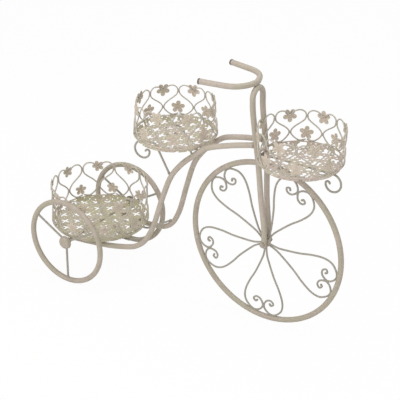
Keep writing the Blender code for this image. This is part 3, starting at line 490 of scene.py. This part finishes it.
def lathe(profile, centre, axis, steps=40, wear=0.0):
    """Surface of a profile of (radius, height) turned about an axis: at angle a, the
    centre plus radius times (cos a, sin a) across the axis plus height along it.  Corners
    that meet, at a pole or where the profile closes, become one."""
    profile = np.asarray(profile, float)
    side = unit(np.cross(axis, OFF_AXIS))
    partner = np.cross(axis, side)
    angle = np.linspace(0, 2 * pi, steps, endpoint=False)[:, None]
    ring = np.cos(angle) * side + np.sin(angle) * partner
    corners = centre + profile[:, 0, None, None] * ring + profile[:, 1, None, None] * axis
    worn = np.repeat(np.broadcast_to(wear, len(profile)), steps)
    corners, first, merged = np.unique(corners.reshape(-1, 3) + 0.0, axis=0,
                                       return_index=True, return_inverse=True)
    faces = merged.ravel()[grid_faces(len(profile), steps, False, True)].tolist()
    faces = [list(dict.fromkeys(face)) for face in faces]
    return corners, [face for face in faces if len(face) > 2], worn[first]


for hand, end, before in (("right", 0, 4), ("left", -1, -5)):
    outward = unit(bar_route[end] - bar_route[before])
    plug = lathe(PLUG_PROFILE[:, :2], bar_route[end], outward, wear=PLUG_PROFILE[:, 2])
    fit("handlebar_cap_" + hand, plug, plastic.material, "handlebar_plug_" + hand)


# Wheel bolts and nuts
# Plain steel fasteners, coated with the rest: a bolt through the fork and the big wheel,
# and an axle for the rear wheels, each with a hexagon nut outside.
BOLT = 0.003
AXLE = 0.004
COLLAR = 0.007
COLLAR_WIDTH = 0.004
CHAMFER = 0.0006
SLEEVE_HALF = 0.006  # half the length of a rear wheel's hub sleeve
NUT_FLAT = 0.0056  # from the axis to a flat
NUT_CORNER = 1.12 * NUT_FLAT  # from the axis to a turned-off corner
# Nut from face to face: shares of its radius and of its height, and its wear
NUT_PROFILE = np.array((
    (0.0, -0.5, 0.2), (0.62, -0.5, 0.2), (0.93, -0.5, 0.5), (1.0, -0.38, 0.2),
    (1.0, 0.38, 0.2), (0.93, 0.5, 0.5), (0.62, 0.5, 0.2), (0.0, 0.5, 0.2),
))

steel_coat = coat("cream_coat_on_fasteners", (0.44, 0.385, 0.315), (0.36, 0.31, 0.25),
                  (0.38, 0.34, 0.27), (0.22, 0.185, 0.15),
                  lumps=0.006, peel=0.0006, roughness=0.44, rubbed=0.56)


def hexagon_nut(centre, height):
    """A nut: a lathe whose radius at angle a is the flat's over cos of a's angle from the
    nearest flat, and no more than the turned-off corner's."""
    corners, faces, worn = lathe(NUT_PROFILE[:, :2], np.zeros(3), ALONG_Y, 72, NUT_PROFILE[:, 2])
    x, y, z = corners.T
    from_flat = (np.arctan2(x, z) + pi / 6) % (pi / 3) - pi / 6
    reach = np.minimum(NUT_FLAT / np.cos(from_flat), NUT_CORNER)
    return centre + np.stack([x * reach, y * height, z * reach], -1), faces, worn


for wheel in ("front", "rear"):
    for hand, _ in SIDES:
        nut = wheel + "_axle_nut_" + hand
        middle, extent = measured(nut)
        fit(wheel + "_hexagon_nut_" + hand, hexagon_nut(middle, extent[1]), steel_coat, nut)

middle, extent = measured("front_axle_bolt")
half = extent[1] / 2
bolt_end = [(0.0, half), (BOLT - 0.0008, half), (BOLT, half - CHAMFER)]
bolt = [(r, -h) for r, h in bolt_end] + bolt_end[::-1]
fit("front_wheel_bolt", lathe(bolt, middle, ALONG_Y), steel_coat, "front_axle_bolt")

rear_centre, extent = measured("rear_axle")
half = extent[1] / 2
collar_out = abs(measured("rear_rim_right")[0][1]) - SLEEVE_HALF - TOUCH
collar_in = collar_out - COLLAR_WIDTH
axle_end = [(0.0, half), (AXLE - CHAMFER, half), (AXLE, half - 0.0007), (AXLE, collar_out),
            (COLLAR - CHAMFER, collar_out), (COLLAR, collar_out - CHAMFER),
            (COLLAR, collar_in + CHAMFER), (COLLAR - CHAMFER, collar_in), (AXLE, collar_in)]
axle_profile = [(r, -h) for r, h in axle_end] + axle_end[::-1]
fit("rear_wheel_axle", lathe(axle_profile, rear_centre, ALONG_Y), steel_coat, "rear_axle")


# Wheels
# Each rim is a hoop of the same tube.  The big wheel has five hearts of two scrolled
# wires each; the small wheels have three straight spokes and a domed cap on the hub.
HOOP_POINTS_PER_METRE = 1400
FRONT_WELD_ANGLE = 98.0
REAR_WELD_ANGLE = 75.0
WHEEL_HEART_ANGLES = (-91.0, -17.0, 62.0, 132.0, 202.0)
SCROLL_WIRE = 0.0022
SCROLL_START = 0.0075
RIM_SHARE = 0.9918
HALVES_MEET = 0.86
# Half of one wheel heart, outward and sideways, as shares of a radius that lets its wire
# touch the rim at RIM_SHARE.  None marks where the two halves meet, HALVES_MEET of the
# wire's radius from the heart's middle.
WHEEL_HEART_SHARES = (
    (0.08, None), (0.14, 0.0185), (0.226, 0.04), (0.446, 0.129), (0.602, 0.21),
    (0.753, 0.266), (0.871, 0.264), (0.952, 0.204), (RIM_SHARE, 0.128), (0.96, 0.05),
    (0.908, None), (0.868, None), (0.808, 0.05), (0.796, 0.108), (0.834, 0.143),
    (0.862, 0.112), (0.843, 0.09),
)

hoop_coat = coat("cream_coat_on_hoops", (0.455, 0.392, 0.328), (0.392, 0.338, 0.274),
                 (0.402, 0.368, 0.276), (0.26, 0.21, 0.15), lumps=0.026, peel=0.0011, rubbed=0.62)
wire_coat = coat("cream_coat_on_wire", (0.375, 0.345, 0.3), (0.325, 0.297, 0.253),
                 (0.34, 0.318, 0.258), (0.22, 0.185, 0.145), lumps=0.016, peel=0.0006)


def hoop(centre, radius, weld_angle):
    """A hoop of tube in the wheel's plane, with a low bead of weld at one angle: at angle a,
    the middle line is the centre plus radius times (cos a, 0, sin a)."""
    turn = np.linspace(0, 2 * pi, int(radius * HOOP_POINTS_PER_METRE), endpoint=False)
    line = centre + radius * np.stack([np.cos(turn), turn * 0, np.sin(turn)], -1)
    from_weld = ((turn - radians(weld_angle) + pi) % (2 * pi) - pi) * radius
    return round_bar(line, COATED_TUBE, ALONG_Y, TUBE_SIDES, True, weld(from_weld, 0.09, 0.004))


rim_radius = rim_extent[0] / 2
rim_inside = rim_radius - 2 * TUBE
fit("front_hoop", hoop(axle, rim_radius - COATED_TUBE, FRONT_WELD_ANGLE), hoop_coat,
    "front_rim", "front_wheel")


def joined(*bits):
    """Several sets of corners, faces and wear values as one."""
    corners, faces, worn, start = [], [], [], 0
    for some_corners, some_faces, some_worn in bits:
        corners.append(some_corners)
        faces += [[i + start for i in face] for face in some_faces]
        worn.append(some_worn)
        start += len(some_corners)
    return np.vstack(corners), faces, np.concatenate(worn)


def scroll_half(side, angle):
    """One scrolled wire of a heart: a table of shares outward and sideways, turned to
    the heart's angle round the hub.  It swells at the rim and where the halves meet, and
    is thinned beside the fork's feet."""
    touch = rim_inside / RIM_SHARE - SCROLL_WIRE
    meet = SCROLL_WIRE * HALVES_MEET / touch
    table = [(out, meet if aside is None else aside) for out, aside in WHEEL_HEART_SHARES]
    out, aside = np.array(table).T * touch
    out[0] = SCROLL_START
    turn = radians(angle)
    outward = np.array([cos(turn), 0.0, sin(turn)])
    sideways = np.array([-sin(turn), 0.0, cos(turn)])
    points = out[:, None] * outward + side * aside[:, None] * sideways
    line = even_line(smooth_line(points, 12), 0.0016)
    reach = np.linalg.norm(line, axis=1)
    bead = weld(reach - rim_inside, 0.3, 0.0022)
    bead += weld(line @ sideways, 0.22, 0.0022) * (reach > 0.05)
    bead -= weld(reach - 0.008, 0.07, 0.02)
    bead[-4:] += 0.15
    return round_bar(axle + line, SCROLL_WIRE, ALONG_Y, 12, swell=bead)


for i, angle in enumerate(WHEEL_HEART_ANGLES, 1):
    heart = joined(scroll_half(-1, angle), scroll_half(1, angle))
    fit("scrolled_wheel_heart_" + str(i), heart, wire_coat, "front_wheel_heart_" + str(i),
        body="front_wheel")

# Front hub from its end to its middle: radius, and share of its half length
HUB_SHARES = ((0.0034, 1.0), (0.0078, 1.0), (0.0098, 0.85), (0.0112, 0.4), (0.0116, 0.0))
hub = [(r, -hub_half * share) for r, share in HUB_SHARES]
hub += [(r, -h) for r, h in hub[-2::-1]] + hub[:1]
fit("front_hub_sleeve", lathe(hub, axle, ALONG_Y, 48, 0.1), hoop_coat, "front_hub",
    body="front_wheel")

SPOKE_ANGLES = (30.0, 150.0, -90.0)
SPOKE_WIRE = 0.0026
SPOKE_START = 0.0066
SPOKE_DEPTH = 0.0012  # how deep a spoke is welded into the hoop
SLEEVE = 0.008
SLEEVE_BORE = AXLE + TOUCH
HUB_CAP = 0.0165
CAP_BULGE = 0.0062
CAP_SHEET = 0.0009
CAP_BORE = 0.0082
RIM_OF_CAP = ((0.0012, 0.0), (0.0003, 0.0002), (0.0, 0.001), (0.0002, 0.002), (0.0011, 0.0026))


def hub_cap_profile(depth):
    """Side view of a hub cap, as radius and height: a rolled rim, a dome whose radius falls
    as cos to the power 0.75 while its height rises as sin, the same dome inside, and a
    back plate with a hole for the sleeve."""
    rim = [(HUB_CAP - inset, height) for inset, height in RIM_OF_CAP]
    dome = [((HUB_CAP - 0.0013) * cos(turn) ** 0.75, depth - CAP_BULGE + CAP_BULGE * sin(turn))
            for turn in np.linspace(0, pi / 2, 14)[:-1]]
    inside = [(max(0.0, r - CAP_SHEET), h - CAP_SHEET) for r, h in reversed(dome)]
    plate_edge = HUB_CAP - 0.0022
    plate = [(plate_edge, 0.002), (CAP_BORE, 0.002), (CAP_BORE, 0.001), (plate_edge, 0.001)]
    return rim + dome + [(0.0, depth), (0.0, depth - CAP_SHEET)] + inside + plate + rim[:1]


def spoke(centre, radius, angle):
    """One straight spoke from the sleeve into the hoop, with a bead of weld at both ends."""
    reach = np.linspace(SPOKE_START, radius - 2 * TUBE + SPOKE_DEPTH, 36)
    line = centre + reach[:, None] * np.array([cos(radians(angle)), 0.0, sin(radians(angle))])
    bead = weld(reach - reach[-1], 0.45, 0.0028) + weld(reach - SLEEVE, 0.4, 0.003)
    return round_bar(line, SPOKE_WIRE, ALONG_Y, 14, swell=bead)


sleeve_end = [(SLEEVE_BORE, SLEEVE_HALF), (SLEEVE - CHAMFER, SLEEVE_HALF),
              (SLEEVE, SLEEVE_HALF - CHAMFER)]
sleeve = [(r, -h) for r, h in sleeve_end] + sleeve_end[::-1] + [(SLEEVE_BORE, -SLEEVE_HALF)]
for hand, side in SIDES:
    body = "rear_wheel_" + hand
    centre, extent = measured("rear_rim_" + hand)
    rear_radius = extent[0] / 2
    fit("rear_hoop_" + hand, hoop(centre, rear_radius - COATED_TUBE, REAR_WELD_ANGLE),
        hoop_coat, "rear_rim_" + hand, body)
    spokes = [spoke(centre, rear_radius, angle) for angle in SPOKE_ANGLES]
    fit("rear_spokes_" + hand, joined(lathe(sleeve, centre, ALONG_Y), *spokes), wire_coat,
        "rear_spider_" + hand, body=body)
    middle, extent = measured("rear_hub_cap_" + hand)
    profile = hub_cap_profile(extent[1])
    cap_wear = [0.35 if i < len(RIM_OF_CAP) else 0.0 for i in range(len(profile))]
    foot = middle - side * ALONG_Y * extent[1] / 2
    fit("hub_cap_" + hand, lathe(profile, foot, side * ALONG_Y, 48, cap_wear), hoop_coat,
        "rear_hub_cap_" + hand, body)


# Pierced pans
# Each tray is a shallow pan pressed from steel sheet that was pierced all over with
# crosses and dots, with a flared wall and a flange that the hearts stand on.
PAN_SHEET = 0.0005
FLOOR_INSET = 0.0065  # from the hem in to the edge of the flat floor
WALL_INSET = 0.0032  # from the hem in to the top of the wall
HOLES_INSET = 0.0036  # from the hem in to where the holes end
CROSS_REACH = 0.0116  # from a cross's middle to the end of its arm
SMALL_DOT_RING = 0.0064  # from a cell's middle to its small dots

# A lattice has the place of one cross from the pan's centre, the steps to its neighbours,
# the angle of its arms, half their width, and the radii of its dots.  A pan has a lattice,
# the size of its grid's squares, and the colours of its coat.  The paint is the same as on
# the tubes, but these colours are lighter: painted light that makes up for the shade the
# galleries cast on the pans, over each pan's own pink and olive tint.
Lattice = namedtuple("Lattice", "anchor first second arms cross_half dot small_dot")
PAN_LOOKS = {
    "front": (Lattice((0.0003, -0.0118), (0.0312, 0.0005), (-0.005, 0.0317), radians(47.5),
                      cross_half=0.0043, dot=0.0028, small_dot=0.0012), 0.00092,
              (0.585, 0.47, 0.425), (0.482, 0.43, 0.35), (0.508, 0.468, 0.35)),
    "middle": (Lattice((0.0146, -0.0102), (0.0279, -0.0192), (0.0168, 0.024), radians(12.5),
                       cross_half=0.003, dot=0.0023, small_dot=0.0014), 0.00097,
               (0.575, 0.482, 0.412), (0.48, 0.428, 0.325), (0.5, 0.48, 0.325)),
    "rear": (Lattice((0.0274, -0.022), (0.0243, 0.0176), (0.0245, -0.0232), radians(2.5),
                     cross_half=0.0024, dot=0.0018, small_dot=0.0012), 0.0011,
             (0.545, 0.473, 0.376), (0.457, 0.416, 0.298), (0.48, 0.46, 0.293)),
}


def metal_left(x, y, lattice):
    """Distance to the nearest hole's edge, positive on the metal.  Crosses stand at the
    lattice's corners with their arms along its diagonals.  A dot lies in the middle of each
    cell, with four small ones round it, and another halfway along each side."""
    steps = np.array([lattice.first, lattice.second]).T
    shares = np.stack([x - lattice.anchor[0], y - lattice.anchor[1]], -1) @ np.linalg.inv(steps).T
    along, across = cos(lattice.arms), sin(lattice.arms)

    def nearest(*corner):
        """Place from the nearest point with these shares of a cell, along and across the
        arms, without its sign."""
        near = ((shares - corner + 0.5) % 1.0 - 0.5) @ steps.T
        return (np.abs(near[:, 0] * along + near[:, 1] * across),
                np.abs(near[:, 1] * along - near[:, 0] * across))

    def arm(lengthways, sideways):
        """Distance from the middle line of an arm of the cross."""
        return np.hypot(np.maximum(lengthways - CROSS_REACH + lattice.cross_half, 0), sideways)

    a, b = nearest(0.0, 0.0)
    holes = np.minimum(arm(a, b), arm(b, a)) - lattice.cross_half
    a, b = nearest(0.5, 0.5)
    small_dots = np.hypot(np.maximum(a, b) - SMALL_DOT_RING, np.minimum(a, b))
    holes = np.minimum(holes, small_dots - lattice.small_dot)
    for corner in ((0.5, 0.5), (0.5, 0.0), (0.0, 0.5)):
        holes = np.minimum(holes, np.hypot(*nearest(*corner)) - lattice.dot)
    return holes


def pan_profile(radius, depth):
    """Side view of the sheet's middle from the centre to the hem, as radius and height."""
    floor_edge, wall_top = radius - FLOOR_INSET, radius - WALL_INSET
    floor, flange = PAN_SHEET / 2, depth - PAN_SHEET / 2
    points = ((0.0, floor), (floor_edge - 0.012, floor), (floor_edge - 0.003, floor),
              (floor_edge - 0.0006, floor + 0.0007), (floor_edge + 0.0009, floor + 0.003),
              (wall_top - 0.0006, depth - 0.003), (wall_top, flange - 0.0004),
              (wall_top + 0.0012, flange), (radius - 0.0009, flange),
              (radius - 0.0004, flange - 0.0008), (radius - 0.0005, depth - 0.0026))
    return smooth_line(points, 8)


def pierced_pan(centre, base, radius, depth, lattice, size):
    """A grid of squares of one size on the flat sheet, less those with no metal.  Corners
    near an edge move onto it, down the slope of the distance to it.  The sheet is then bent:
    its distance from the centre runs along the profile.  Its two faces lie half a thickness
    to either side, and a strip closes every edge."""
    profile = pan_profile(radius, depth)
    run = np.concatenate([[0], np.cumsum(np.hypot(*np.diff(profile, axis=0).T))])
    whole = run[-1]
    widening = len(profile) * 4 // 5
    plain_from = np.interp(radius - HOLES_INSET, profile[:widening, 0], run[:widening])

    def metal(x, y):
        """Distance to the nearest edge of the flat sheet, positive on the metal."""
        reach = np.hypot(x, y)
        return np.minimum(np.maximum(metal_left(x, y, lattice), reach - plain_from), whole - reach)

    count = int(whole / size) + 2
    line = np.arange(-count, count + 1) * size
    x, y = (grid.ravel() for grid in np.meshgrid(line, line, indexing="ij"))
    here = metal(x, y)
    squares = grid_faces(len(line), len(line))[:, [0, 3, 2, 1]]
    enough = ((here > 0)[squares].sum(1) >= 2) & (here[squares].sum(1) > -0.9 * size)
    squares = squares[enough]

    step = size / 50
    moves = (here <= 0) | (np.abs(here) < 0.34 * size)
    for _ in range(3):
        slope = np.stack([metal(x + step, y) - metal(x - step, y),
                          metal(x, y + step) - metal(x, y - step)], -1) / (2 * step)
        steep = np.maximum((slope ** 2).sum(1), 0.25)
        shift = np.where(moves[:, None], -(metal(x, y) / steep)[:, None] * slope, 0.0)
        shift = np.clip(shift, -0.7 * size, 0.7 * size)
        x, y = x + shift[:, 0], y + shift[:, 1]

    used, squares = np.unique(squares, return_inverse=True)
    squares = squares.reshape(-1, 4)
    x, y = x[used], y[used]
    reach = np.minimum(np.hypot(x, y), whole)
    out, up = (np.interp(reach, run, column) for column in profile.T)
    ahead = unit(np.gradient(profile, axis=0))
    out_slope, up_slope = (np.interp(reach, run, column) for column in ahead.T)
    away = np.stack([x, y], -1) / np.maximum(reach, 1e-9)[:, None]
    middle = np.column_stack([centre + away * out[:, None], base + up])
    lift = np.column_stack([-away * up_slope[:, None], out_slope]) * PAN_SHEET / 2

    edges = np.stack([squares, np.roll(squares, -1, 1)], -1).reshape(-1, 2)
    keys = edges.min(1) * len(x) + edges.max(1)
    _, first, uses = np.unique(keys, return_index=True, return_counts=True)
    a, b = edges[first[uses == 1]].T
    strip = np.stack([b, a, a + len(x), b + len(x)], -1)
    faces = np.vstack([squares, squares[:, ::-1] + len(x), strip])
    round_holes = 0.32 * np.exp(-np.maximum(metal(x, y), 0) / 0.0007)
    on_brow = 0.25 * np.exp(-np.abs(reach - plain_from) / 0.002)
    worn = np.tile(np.clip(round_holes + on_brow, 0, 1), 2)
    return np.vstack([middle + lift, middle - lift]), faces.tolist(), worn


PanPlace = namedtuple("PanPlace", "centre base radius top")
pans = {}
for tray, (lattice, size, cream, taupe, tint) in PAN_LOOKS.items():
    low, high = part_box(tray + "_tray")
    centre = np.array([(low.x + high.x) / 2, 0.0])
    radius = (high.x - low.x) / 2
    pans[tray] = PanPlace(centre, low.z, radius, high.z)
    # Painted light: the pan's cream and taupe are lighter than the tube coat to make up for the
    # galleries' shade.
    pan_finish_with_painted_light = coat(tray + "_pan_coat", cream, taupe, tint, (0.4, 0.32, 0.24),
                    lumps=0.015, peel=0.0007, roughness=0.5, rubbed=0.6)
    shape = pierced_pan(centre, low.z, radius, high.z - low.z, lattice, size)
    fit(tray + "_pierced_pan", shape, pan_finish_with_painted_light, tray + "_tray")


# Galleries
# Bent wire hearts stand side by side on each pan's flange, welded where they touch.  A
# stamped five-petal flower covers each heart's cleft, and another stands between feet.
FOOT_INSET = 0.002  # from the pan's hem in to the wire's middle line
FOOT_GAP = 0.0001
FLOWER_GAP = 0.0002
LOWER_TURN = radians(6.0)
# Half of one gallery heart from its foot to the cleft: sideways share of the room between
# the heart's middle line and its neighbour, and share of the gallery's height
HEART_SHARES = (
    (0.97, 0.03), (0.78, 0.004), (0.56, 0.0), (0.33, 0.065), (0.12, 0.165), (0.0, 0.27),
    (0.09, 0.375), (0.33, 0.48), (0.64, 0.58), (0.9, 0.685), (1.0, 0.8), (0.95, 0.91),
    (0.76, 0.985), (0.55, 1.0), (0.35, 0.98), (0.15, 0.93), (0.03, 0.865),
)
# A gallery has its height, its lean outwards, the width of a flower, the count of hearts,
# the angle at which they start, the high flowers' share of the height and their turns, how
# far the low ones are moved up and round in degrees, and the radius of the wire.
Gallery = namedtuple("Gallery", "height lean flower hearts start upper turns lower_up lower_round wire")
UPPER_TURNS = (20.0, -4.0, 36.0, 28.0, 12.0, 40.0, 30.0, 36.0, 18.0)
GALLERIES = {
    "front": Gallery(0.075, 0.002, 0.0323, 8, 23.8, 0.815, UPPER_TURNS,
                     lower_up=0.0004, lower_round=0.0, wire=0.00165),
    "middle": Gallery(0.078, -0.006, 0.0325, 8, 31.0, 0.855, (34.0, 30.0, 39.0) + UPPER_TURNS[3:],
                      lower_up=0.0012, lower_round=1.0, wire=0.00147),
    "rear": Gallery(0.094, -0.0015, 0.0295, 9, 30.0, 0.865, (36.0, 42.0, 52.0, 60.0) + UPPER_TURNS[:5],
                    lower_up=0.0012, lower_round=3.0, wire=0.0018),
}

gallery_coat = coat("cream_coat_on_gallery", (0.52, 0.475, 0.41), (0.45, 0.412, 0.35),
                    (0.48, 0.448, 0.37), (0.3, 0.25, 0.195), lumps=0.012, peel=0.0005)
# The flowers carry the same paint as the wire, but their coat is drawn much lighter: painted light for
# the lamp light that their shaded faces miss.
flower_finish_with_painted_light = coat("cream_coat_on_flowers_with_painted_light", (0.66, 0.57, 0.49), (0.55, 0.48, 0.395),
                   (0.57, 0.515, 0.395), (0.42, 0.34, 0.25), lumps=0.012, peel=0.0005, roughness=0.5)


def stamped_flower(radius, turn, around=60, rings=8):
    """A five-petal flower stamped from sheet: the outline's radius is 0.48 + 0.52 |cos 2.5a|
    ^ 0.75 of the whole, and its height is a boss in the middle plus a cup and a crease
    along each petal.  The back lies 0.8 mm below the face, which looks along +Z and is
    more worn."""
    angle = np.linspace(0, 2 * pi, around, endpoint=False)
    petal = np.abs(np.cos(2.5 * (angle - pi / 2 - turn)))
    outline = radius * (0.48 + 0.52 * petal ** 0.75)
    outwards = np.linspace(0, 1, rings + 1)[1:]
    share = np.concatenate([outwards, outwards[::-1]])[:, None]
    reach = share * outline
    boss = 0.0012 * np.clip(1 - (reach / (0.28 * radius)) ** 2, 0, 1)
    cup = 0.0016 * np.sin(pi * share ** 0.8) * petal ** 1.5
    crease = -0.0009 * np.exp(-((1 - petal) / 0.03) ** 2) * np.sin(pi * share)
    sheet = np.repeat([0.0004, -0.0004], rings)[:, None]
    sides = np.stack([reach * np.cos(angle), reach * np.sin(angle), boss + cup + crease + sheet], -1)
    corners = np.vstack([sides.reshape(-1, 3), [[0, 0, 0.0016], [0, 0, 0.0008]]])

    inner, top = np.arange(around), 2 * rings * around
    faces = grid_faces(2 * rings, around, False, True)[:, [0, 3, 2, 1]].tolist()
    faces += fan(top, inner).tolist()
    faces += fan(top + 1, inner + top - around)[:, ::-1].tolist()

    groove = 0.35 * np.exp(-((1 - petal) / 0.05) ** 2) * np.sin(pi * share)
    round_boss = 0.22 * np.exp(-((reach / radius - 0.29) / 0.07) ** 2)
    worn = 0.7 * groove + 0.15 * (share > 0.95) + round_boss
    worn[:rings] += 0.3
    return corners, faces, np.append(worn, [0.0, 0.2])


def upright_flower(radius, turn, centre, angle, wall, height, tilt):
    """A flower stood on edge at an angle round the tray, with its face outwards."""
    corners, faces, worn = stamped_flower(radius, turn)
    outward = np.array([cos(angle) * cos(tilt), sin(angle) * cos(tilt), sin(tilt)])
    sideways = np.array([-sin(angle), cos(angle), 0.0])
    upward = np.cross(outward, sideways)
    middle = np.array([centre[0] + wall * cos(angle), centre[1] + wall * sin(angle), height])
    return middle + corners @ np.array([sideways, upward, outward]), faces, worn


def gallery_heart(pan, gallery, angle, upper_turn):
    """One heart and the count of its wire's faces: a table of shares of the half pitch and
    of the height, wrapped round the leaning wall of the gallery, with its two flowers."""
    thick, petals = gallery.wire, gallery.flower / 2
    foot = pan.radius - FOOT_INSET
    rise = gallery.height - 2 * thick
    start = pan.top + FOOT_GAP + thick
    pitch = pi / gallery.hearts
    aside, up = np.array(HEART_SHARES + HEART_SHARES[::-1]).T
    side = np.repeat([-1, 1], len(HEART_SHARES))
    wall = foot + gallery.lean * up
    inner = thick * 0.92 / wall
    theta = angle + side * (inner + aside * (pitch - 2 * inner))
    theta, wall, height = smooth_line(np.stack([theta, wall, start + rise * up], -1), 8).T
    outward = np.stack([np.cos(theta), np.sin(theta), theta * 0], -1)
    line = outward * wall[:, None] + height[:, None] * ALONG_Z + [*pan.centre, 0.0]
    share = (height - start) / rise
    off = np.abs(theta - angle) / pitch
    bead = weld(share - 0.27, 0.2, 0.03) * (off < 0.15)
    bead += weld(share - 0.8, 0.18, 0.035) * (off > 0.8)
    bead += weld(share, 0.1, 0.02) * (off > 0.3)
    wire = round_bar(line, thick, outward, 10, swell=bead)
    tilt = -atan2(gallery.lean, rise)
    high_flower = upright_flower(
        petals, radians(upper_turn), pan.centre, angle,
        foot + gallery.lean * gallery.upper + thick + FLOWER_GAP, start + rise * gallery.upper, tilt)
    low_flower = upright_flower(
        petals, LOWER_TURN, pan.centre, angle + pitch + radians(gallery.lower_round),
        foot + gallery.lean * 0.25, start + rise * 0.03 + thick + petals * 0.86 + gallery.lower_up,
        tilt)
    return joined(wire, high_flower, low_flower), len(wire[1])


for tray, gallery in GALLERIES.items():
    for i in range(gallery.hearts):
        angle = radians(gallery.start) + (i + 0.5) * 2 * pi / gallery.hearts
        heart, wire_faces = gallery_heart(pans[tray], gallery, angle, gallery.turns[i])
        piece = fit(tray + "_gallery_heart_" + str(i + 1), heart, gallery_coat,
                    tray + "_tray_heart_" + str(i + 1))
        piece.data.materials.append(flower_finish_with_painted_light)
        finishes = (np.arange(len(piece.data.polygons)) >= wire_faces).astype(np.int32)
        piece.data.polygons.foreach_set("material_index", finishes)


# Brackets
# Wire brackets hold the trays: one from the fork that curls into a scroll in front, two
# under the middle tray with scrolls behind, and two from the frame under the rear tray.
BRACKET_WIRE = 0.0024
BEND = 0.008  # radius of a bracket's bends
CROSS_ROD = 0.003
CLIMB = 63.0  # slope of the middle struts in degrees
SCROLL_INSET = 0.004  # from the tray's hem in to the scroll
MIDDLE_STATION = 0.4334  # shares of a frame tube's length where the wires leave it
REAR_STATION = 0.5675
REAR_WIRE_ASIDE = 0.036
# The scrolled end: radius and degrees of three quarter turns and of the hook
SCROLL = ((0.0212, -90.0), (0.0208, -90.0), (0.017, -90.0), (0.0052, -165.0))


def bent_run(heading, moves):
    """A flat path of straight runs (length,) and arcs (radius, degrees), as an array."""
    place, heading = np.zeros(2), radians(heading)
    points = [place[None]]
    for move in moves:
        if len(move) == 1:
            steps = np.linspace(0, move[0], max(2, int(move[0] / 0.003)))[1:, None]
            run = place + steps * np.array([cos(heading), sin(heading)])
        else:
            radius, sweep = move[0], radians(move[1])
            side = 1 if sweep > 0 else -1
            middle = place + side * radius * np.array([-sin(heading), cos(heading)])
            now = heading + np.linspace(0, sweep, max(6, int(abs(move[1]) / 7)))[1:]
            run = middle + side * radius * np.stack([np.sin(now), -np.cos(now)], -1)
            heading += sweep
        points.append(run)
        place = run[-1]
    return np.vstack(points)


def bracket(line, plane, both_ends=False):
    """A bracket's bent wire, with a bead of weld where it starts or at both ends."""
    swell = weld_at_start(line, 0.5, 0.003)
    if both_ends:
        swell += weld_at_start(line[::-1], 0.5, 0.003)[::-1]
    return round_bar(line, BRACKET_WIRE, plane, 14, swell=swell)


low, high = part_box("front_tray_bracket")
level = high.x - BRACKET_WIRE - SCROLL[0][0] - low.x
run = bent_run(0.0, ((level,),) + SCROLL)
start = np.array([low.x, 0.0, pans["front"].base - TOUCH - BRACKET_WIRE])
line = start + run[:, :1] * ALONG_X + run[:, 1:] * ALONG_Z
fit("front_scroll_bracket", bracket(line, ALONG_Y), wire_coat, "front_tray_bracket")

middle, extent = measured("fork_cross_rod")
rod = middle + np.linspace(-0.5, 0.5, 16)[:, None] * ALONG_Y * (extent[1] + 0.001)
rod_bead = weld(np.abs(rod[:, 1]) - extent[1] / 2, 0.28, 0.002)
fit("fork_tie_rod", round_bar(rod, CROSS_ROD, ALONG_X, 16, swell=rod_bead, nose=0.2), wire_coat,
    "fork_cross_rod")


def tube_station(line, share):
    """Point of a tube's middle line at a share of its run in X, and its direction there."""
    wanted = line[0, 0] + (line[-1, 0] - line[0, 0]) * share
    at = int(np.argmax(line[:, 0] <= wanted))
    part = (line[at - 1, 0] - wanted) / (line[at - 1, 0] - line[at, 0])
    return line[at - 1] + (line[at] - line[at - 1]) * part, unit(line[at] - line[at - 1])


def wire_meets_tube(station, along, away):
    """Where a wire's square end meets the side of a tube that it leaves at a slant."""
    slant = np.arccos(abs(float(along @ away)))
    return station + away * (TUBE + BRACKET_WIRE * cos(slant)) / sin(slant)


def middle_bracket_line(side, tube, pan):
    """Middle line of a strut from the tube up to the tray, a run under it, and a scroll.
    The run ends where its line leaves the tray's circle, less the scroll."""
    backward = np.array([-cos(SPLAY), side * sin(SPLAY), 0.0])
    lean = radians(CLIMB)
    start = wire_meets_tube(*tube_station(tube, MIDDLE_STATION),
                            backward * cos(lean) + ALONG_Z * sin(lean))
    climb = pan.base - TOUCH - BRACKET_WIRE - start[2]
    strut = (climb - BEND * (1 - cos(lean))) / sin(lean)
    bend_end = strut * cos(lean) + BEND * sin(lean)
    offset = np.array([start[0] - pan.centre[0], start[1], 0.0])
    reach = float(offset @ backward)
    edge = sqrt(reach ** 2 - float(offset @ offset) + pan.radius ** 2) - reach
    level = edge - SCROLL_INSET - SCROLL[0][0] - bend_end
    run = bent_run(CLIMB, ((strut,), (BEND, -CLIMB), (level,)) + SCROLL)
    return start + run[:, :1] * backward + run[:, 1:] * ALONG_Z, np.cross(backward, ALONG_Z)


def rear_bracket_line(side, tube, pan):
    """Middle line of a wire from the tube down to the tray, and straight on to the axle.
    Its bend blends the two straights: at share t, (1 - t) of one plus t of the other."""
    run_z = pan.base - TOUCH - BRACKET_WIRE
    station, along = tube_station(tube, REAR_STATION)
    floor_edge = sqrt((pan.radius - FLOOR_INSET) ** 2 - REAR_WIRE_ASIDE ** 2)
    corner = np.array([pan.centre[0] + floor_edge + BEND, side * REAR_WIRE_ASIDE, run_z])
    end = np.array([rear_centre[0] + AXLE + TOUCH, side * REAR_WIRE_ASIDE, run_z])
    away = unit(corner - station)
    bend = np.linspace(0, 1, 8)[:, None]
    leaving = corner - away * BEND * (1 - bend)
    arriving = corner + unit(end - corner) * BEND * bend
    turned = leaving + (arriving - leaving) * bend
    return even_line(np.vstack([wire_meets_tube(station, along, away), turned, end]), 0.002)


for hand, side in SIDES:
    tube = frame_tube_line(side)
    strut = bracket(*middle_bracket_line(side, tube, pans["middle"]))
    fit("middle_scroll_bracket_" + hand, strut, wire_coat, "middle_tray_bracket_" + hand)
    wire = bracket(rear_bracket_line(side, tube, pans["rear"]), ALONG_Y, both_ends=True)
    fit("rear_tray_wire_" + hand, wire, wire_coat, "rear_tray_bracket_" + hand)
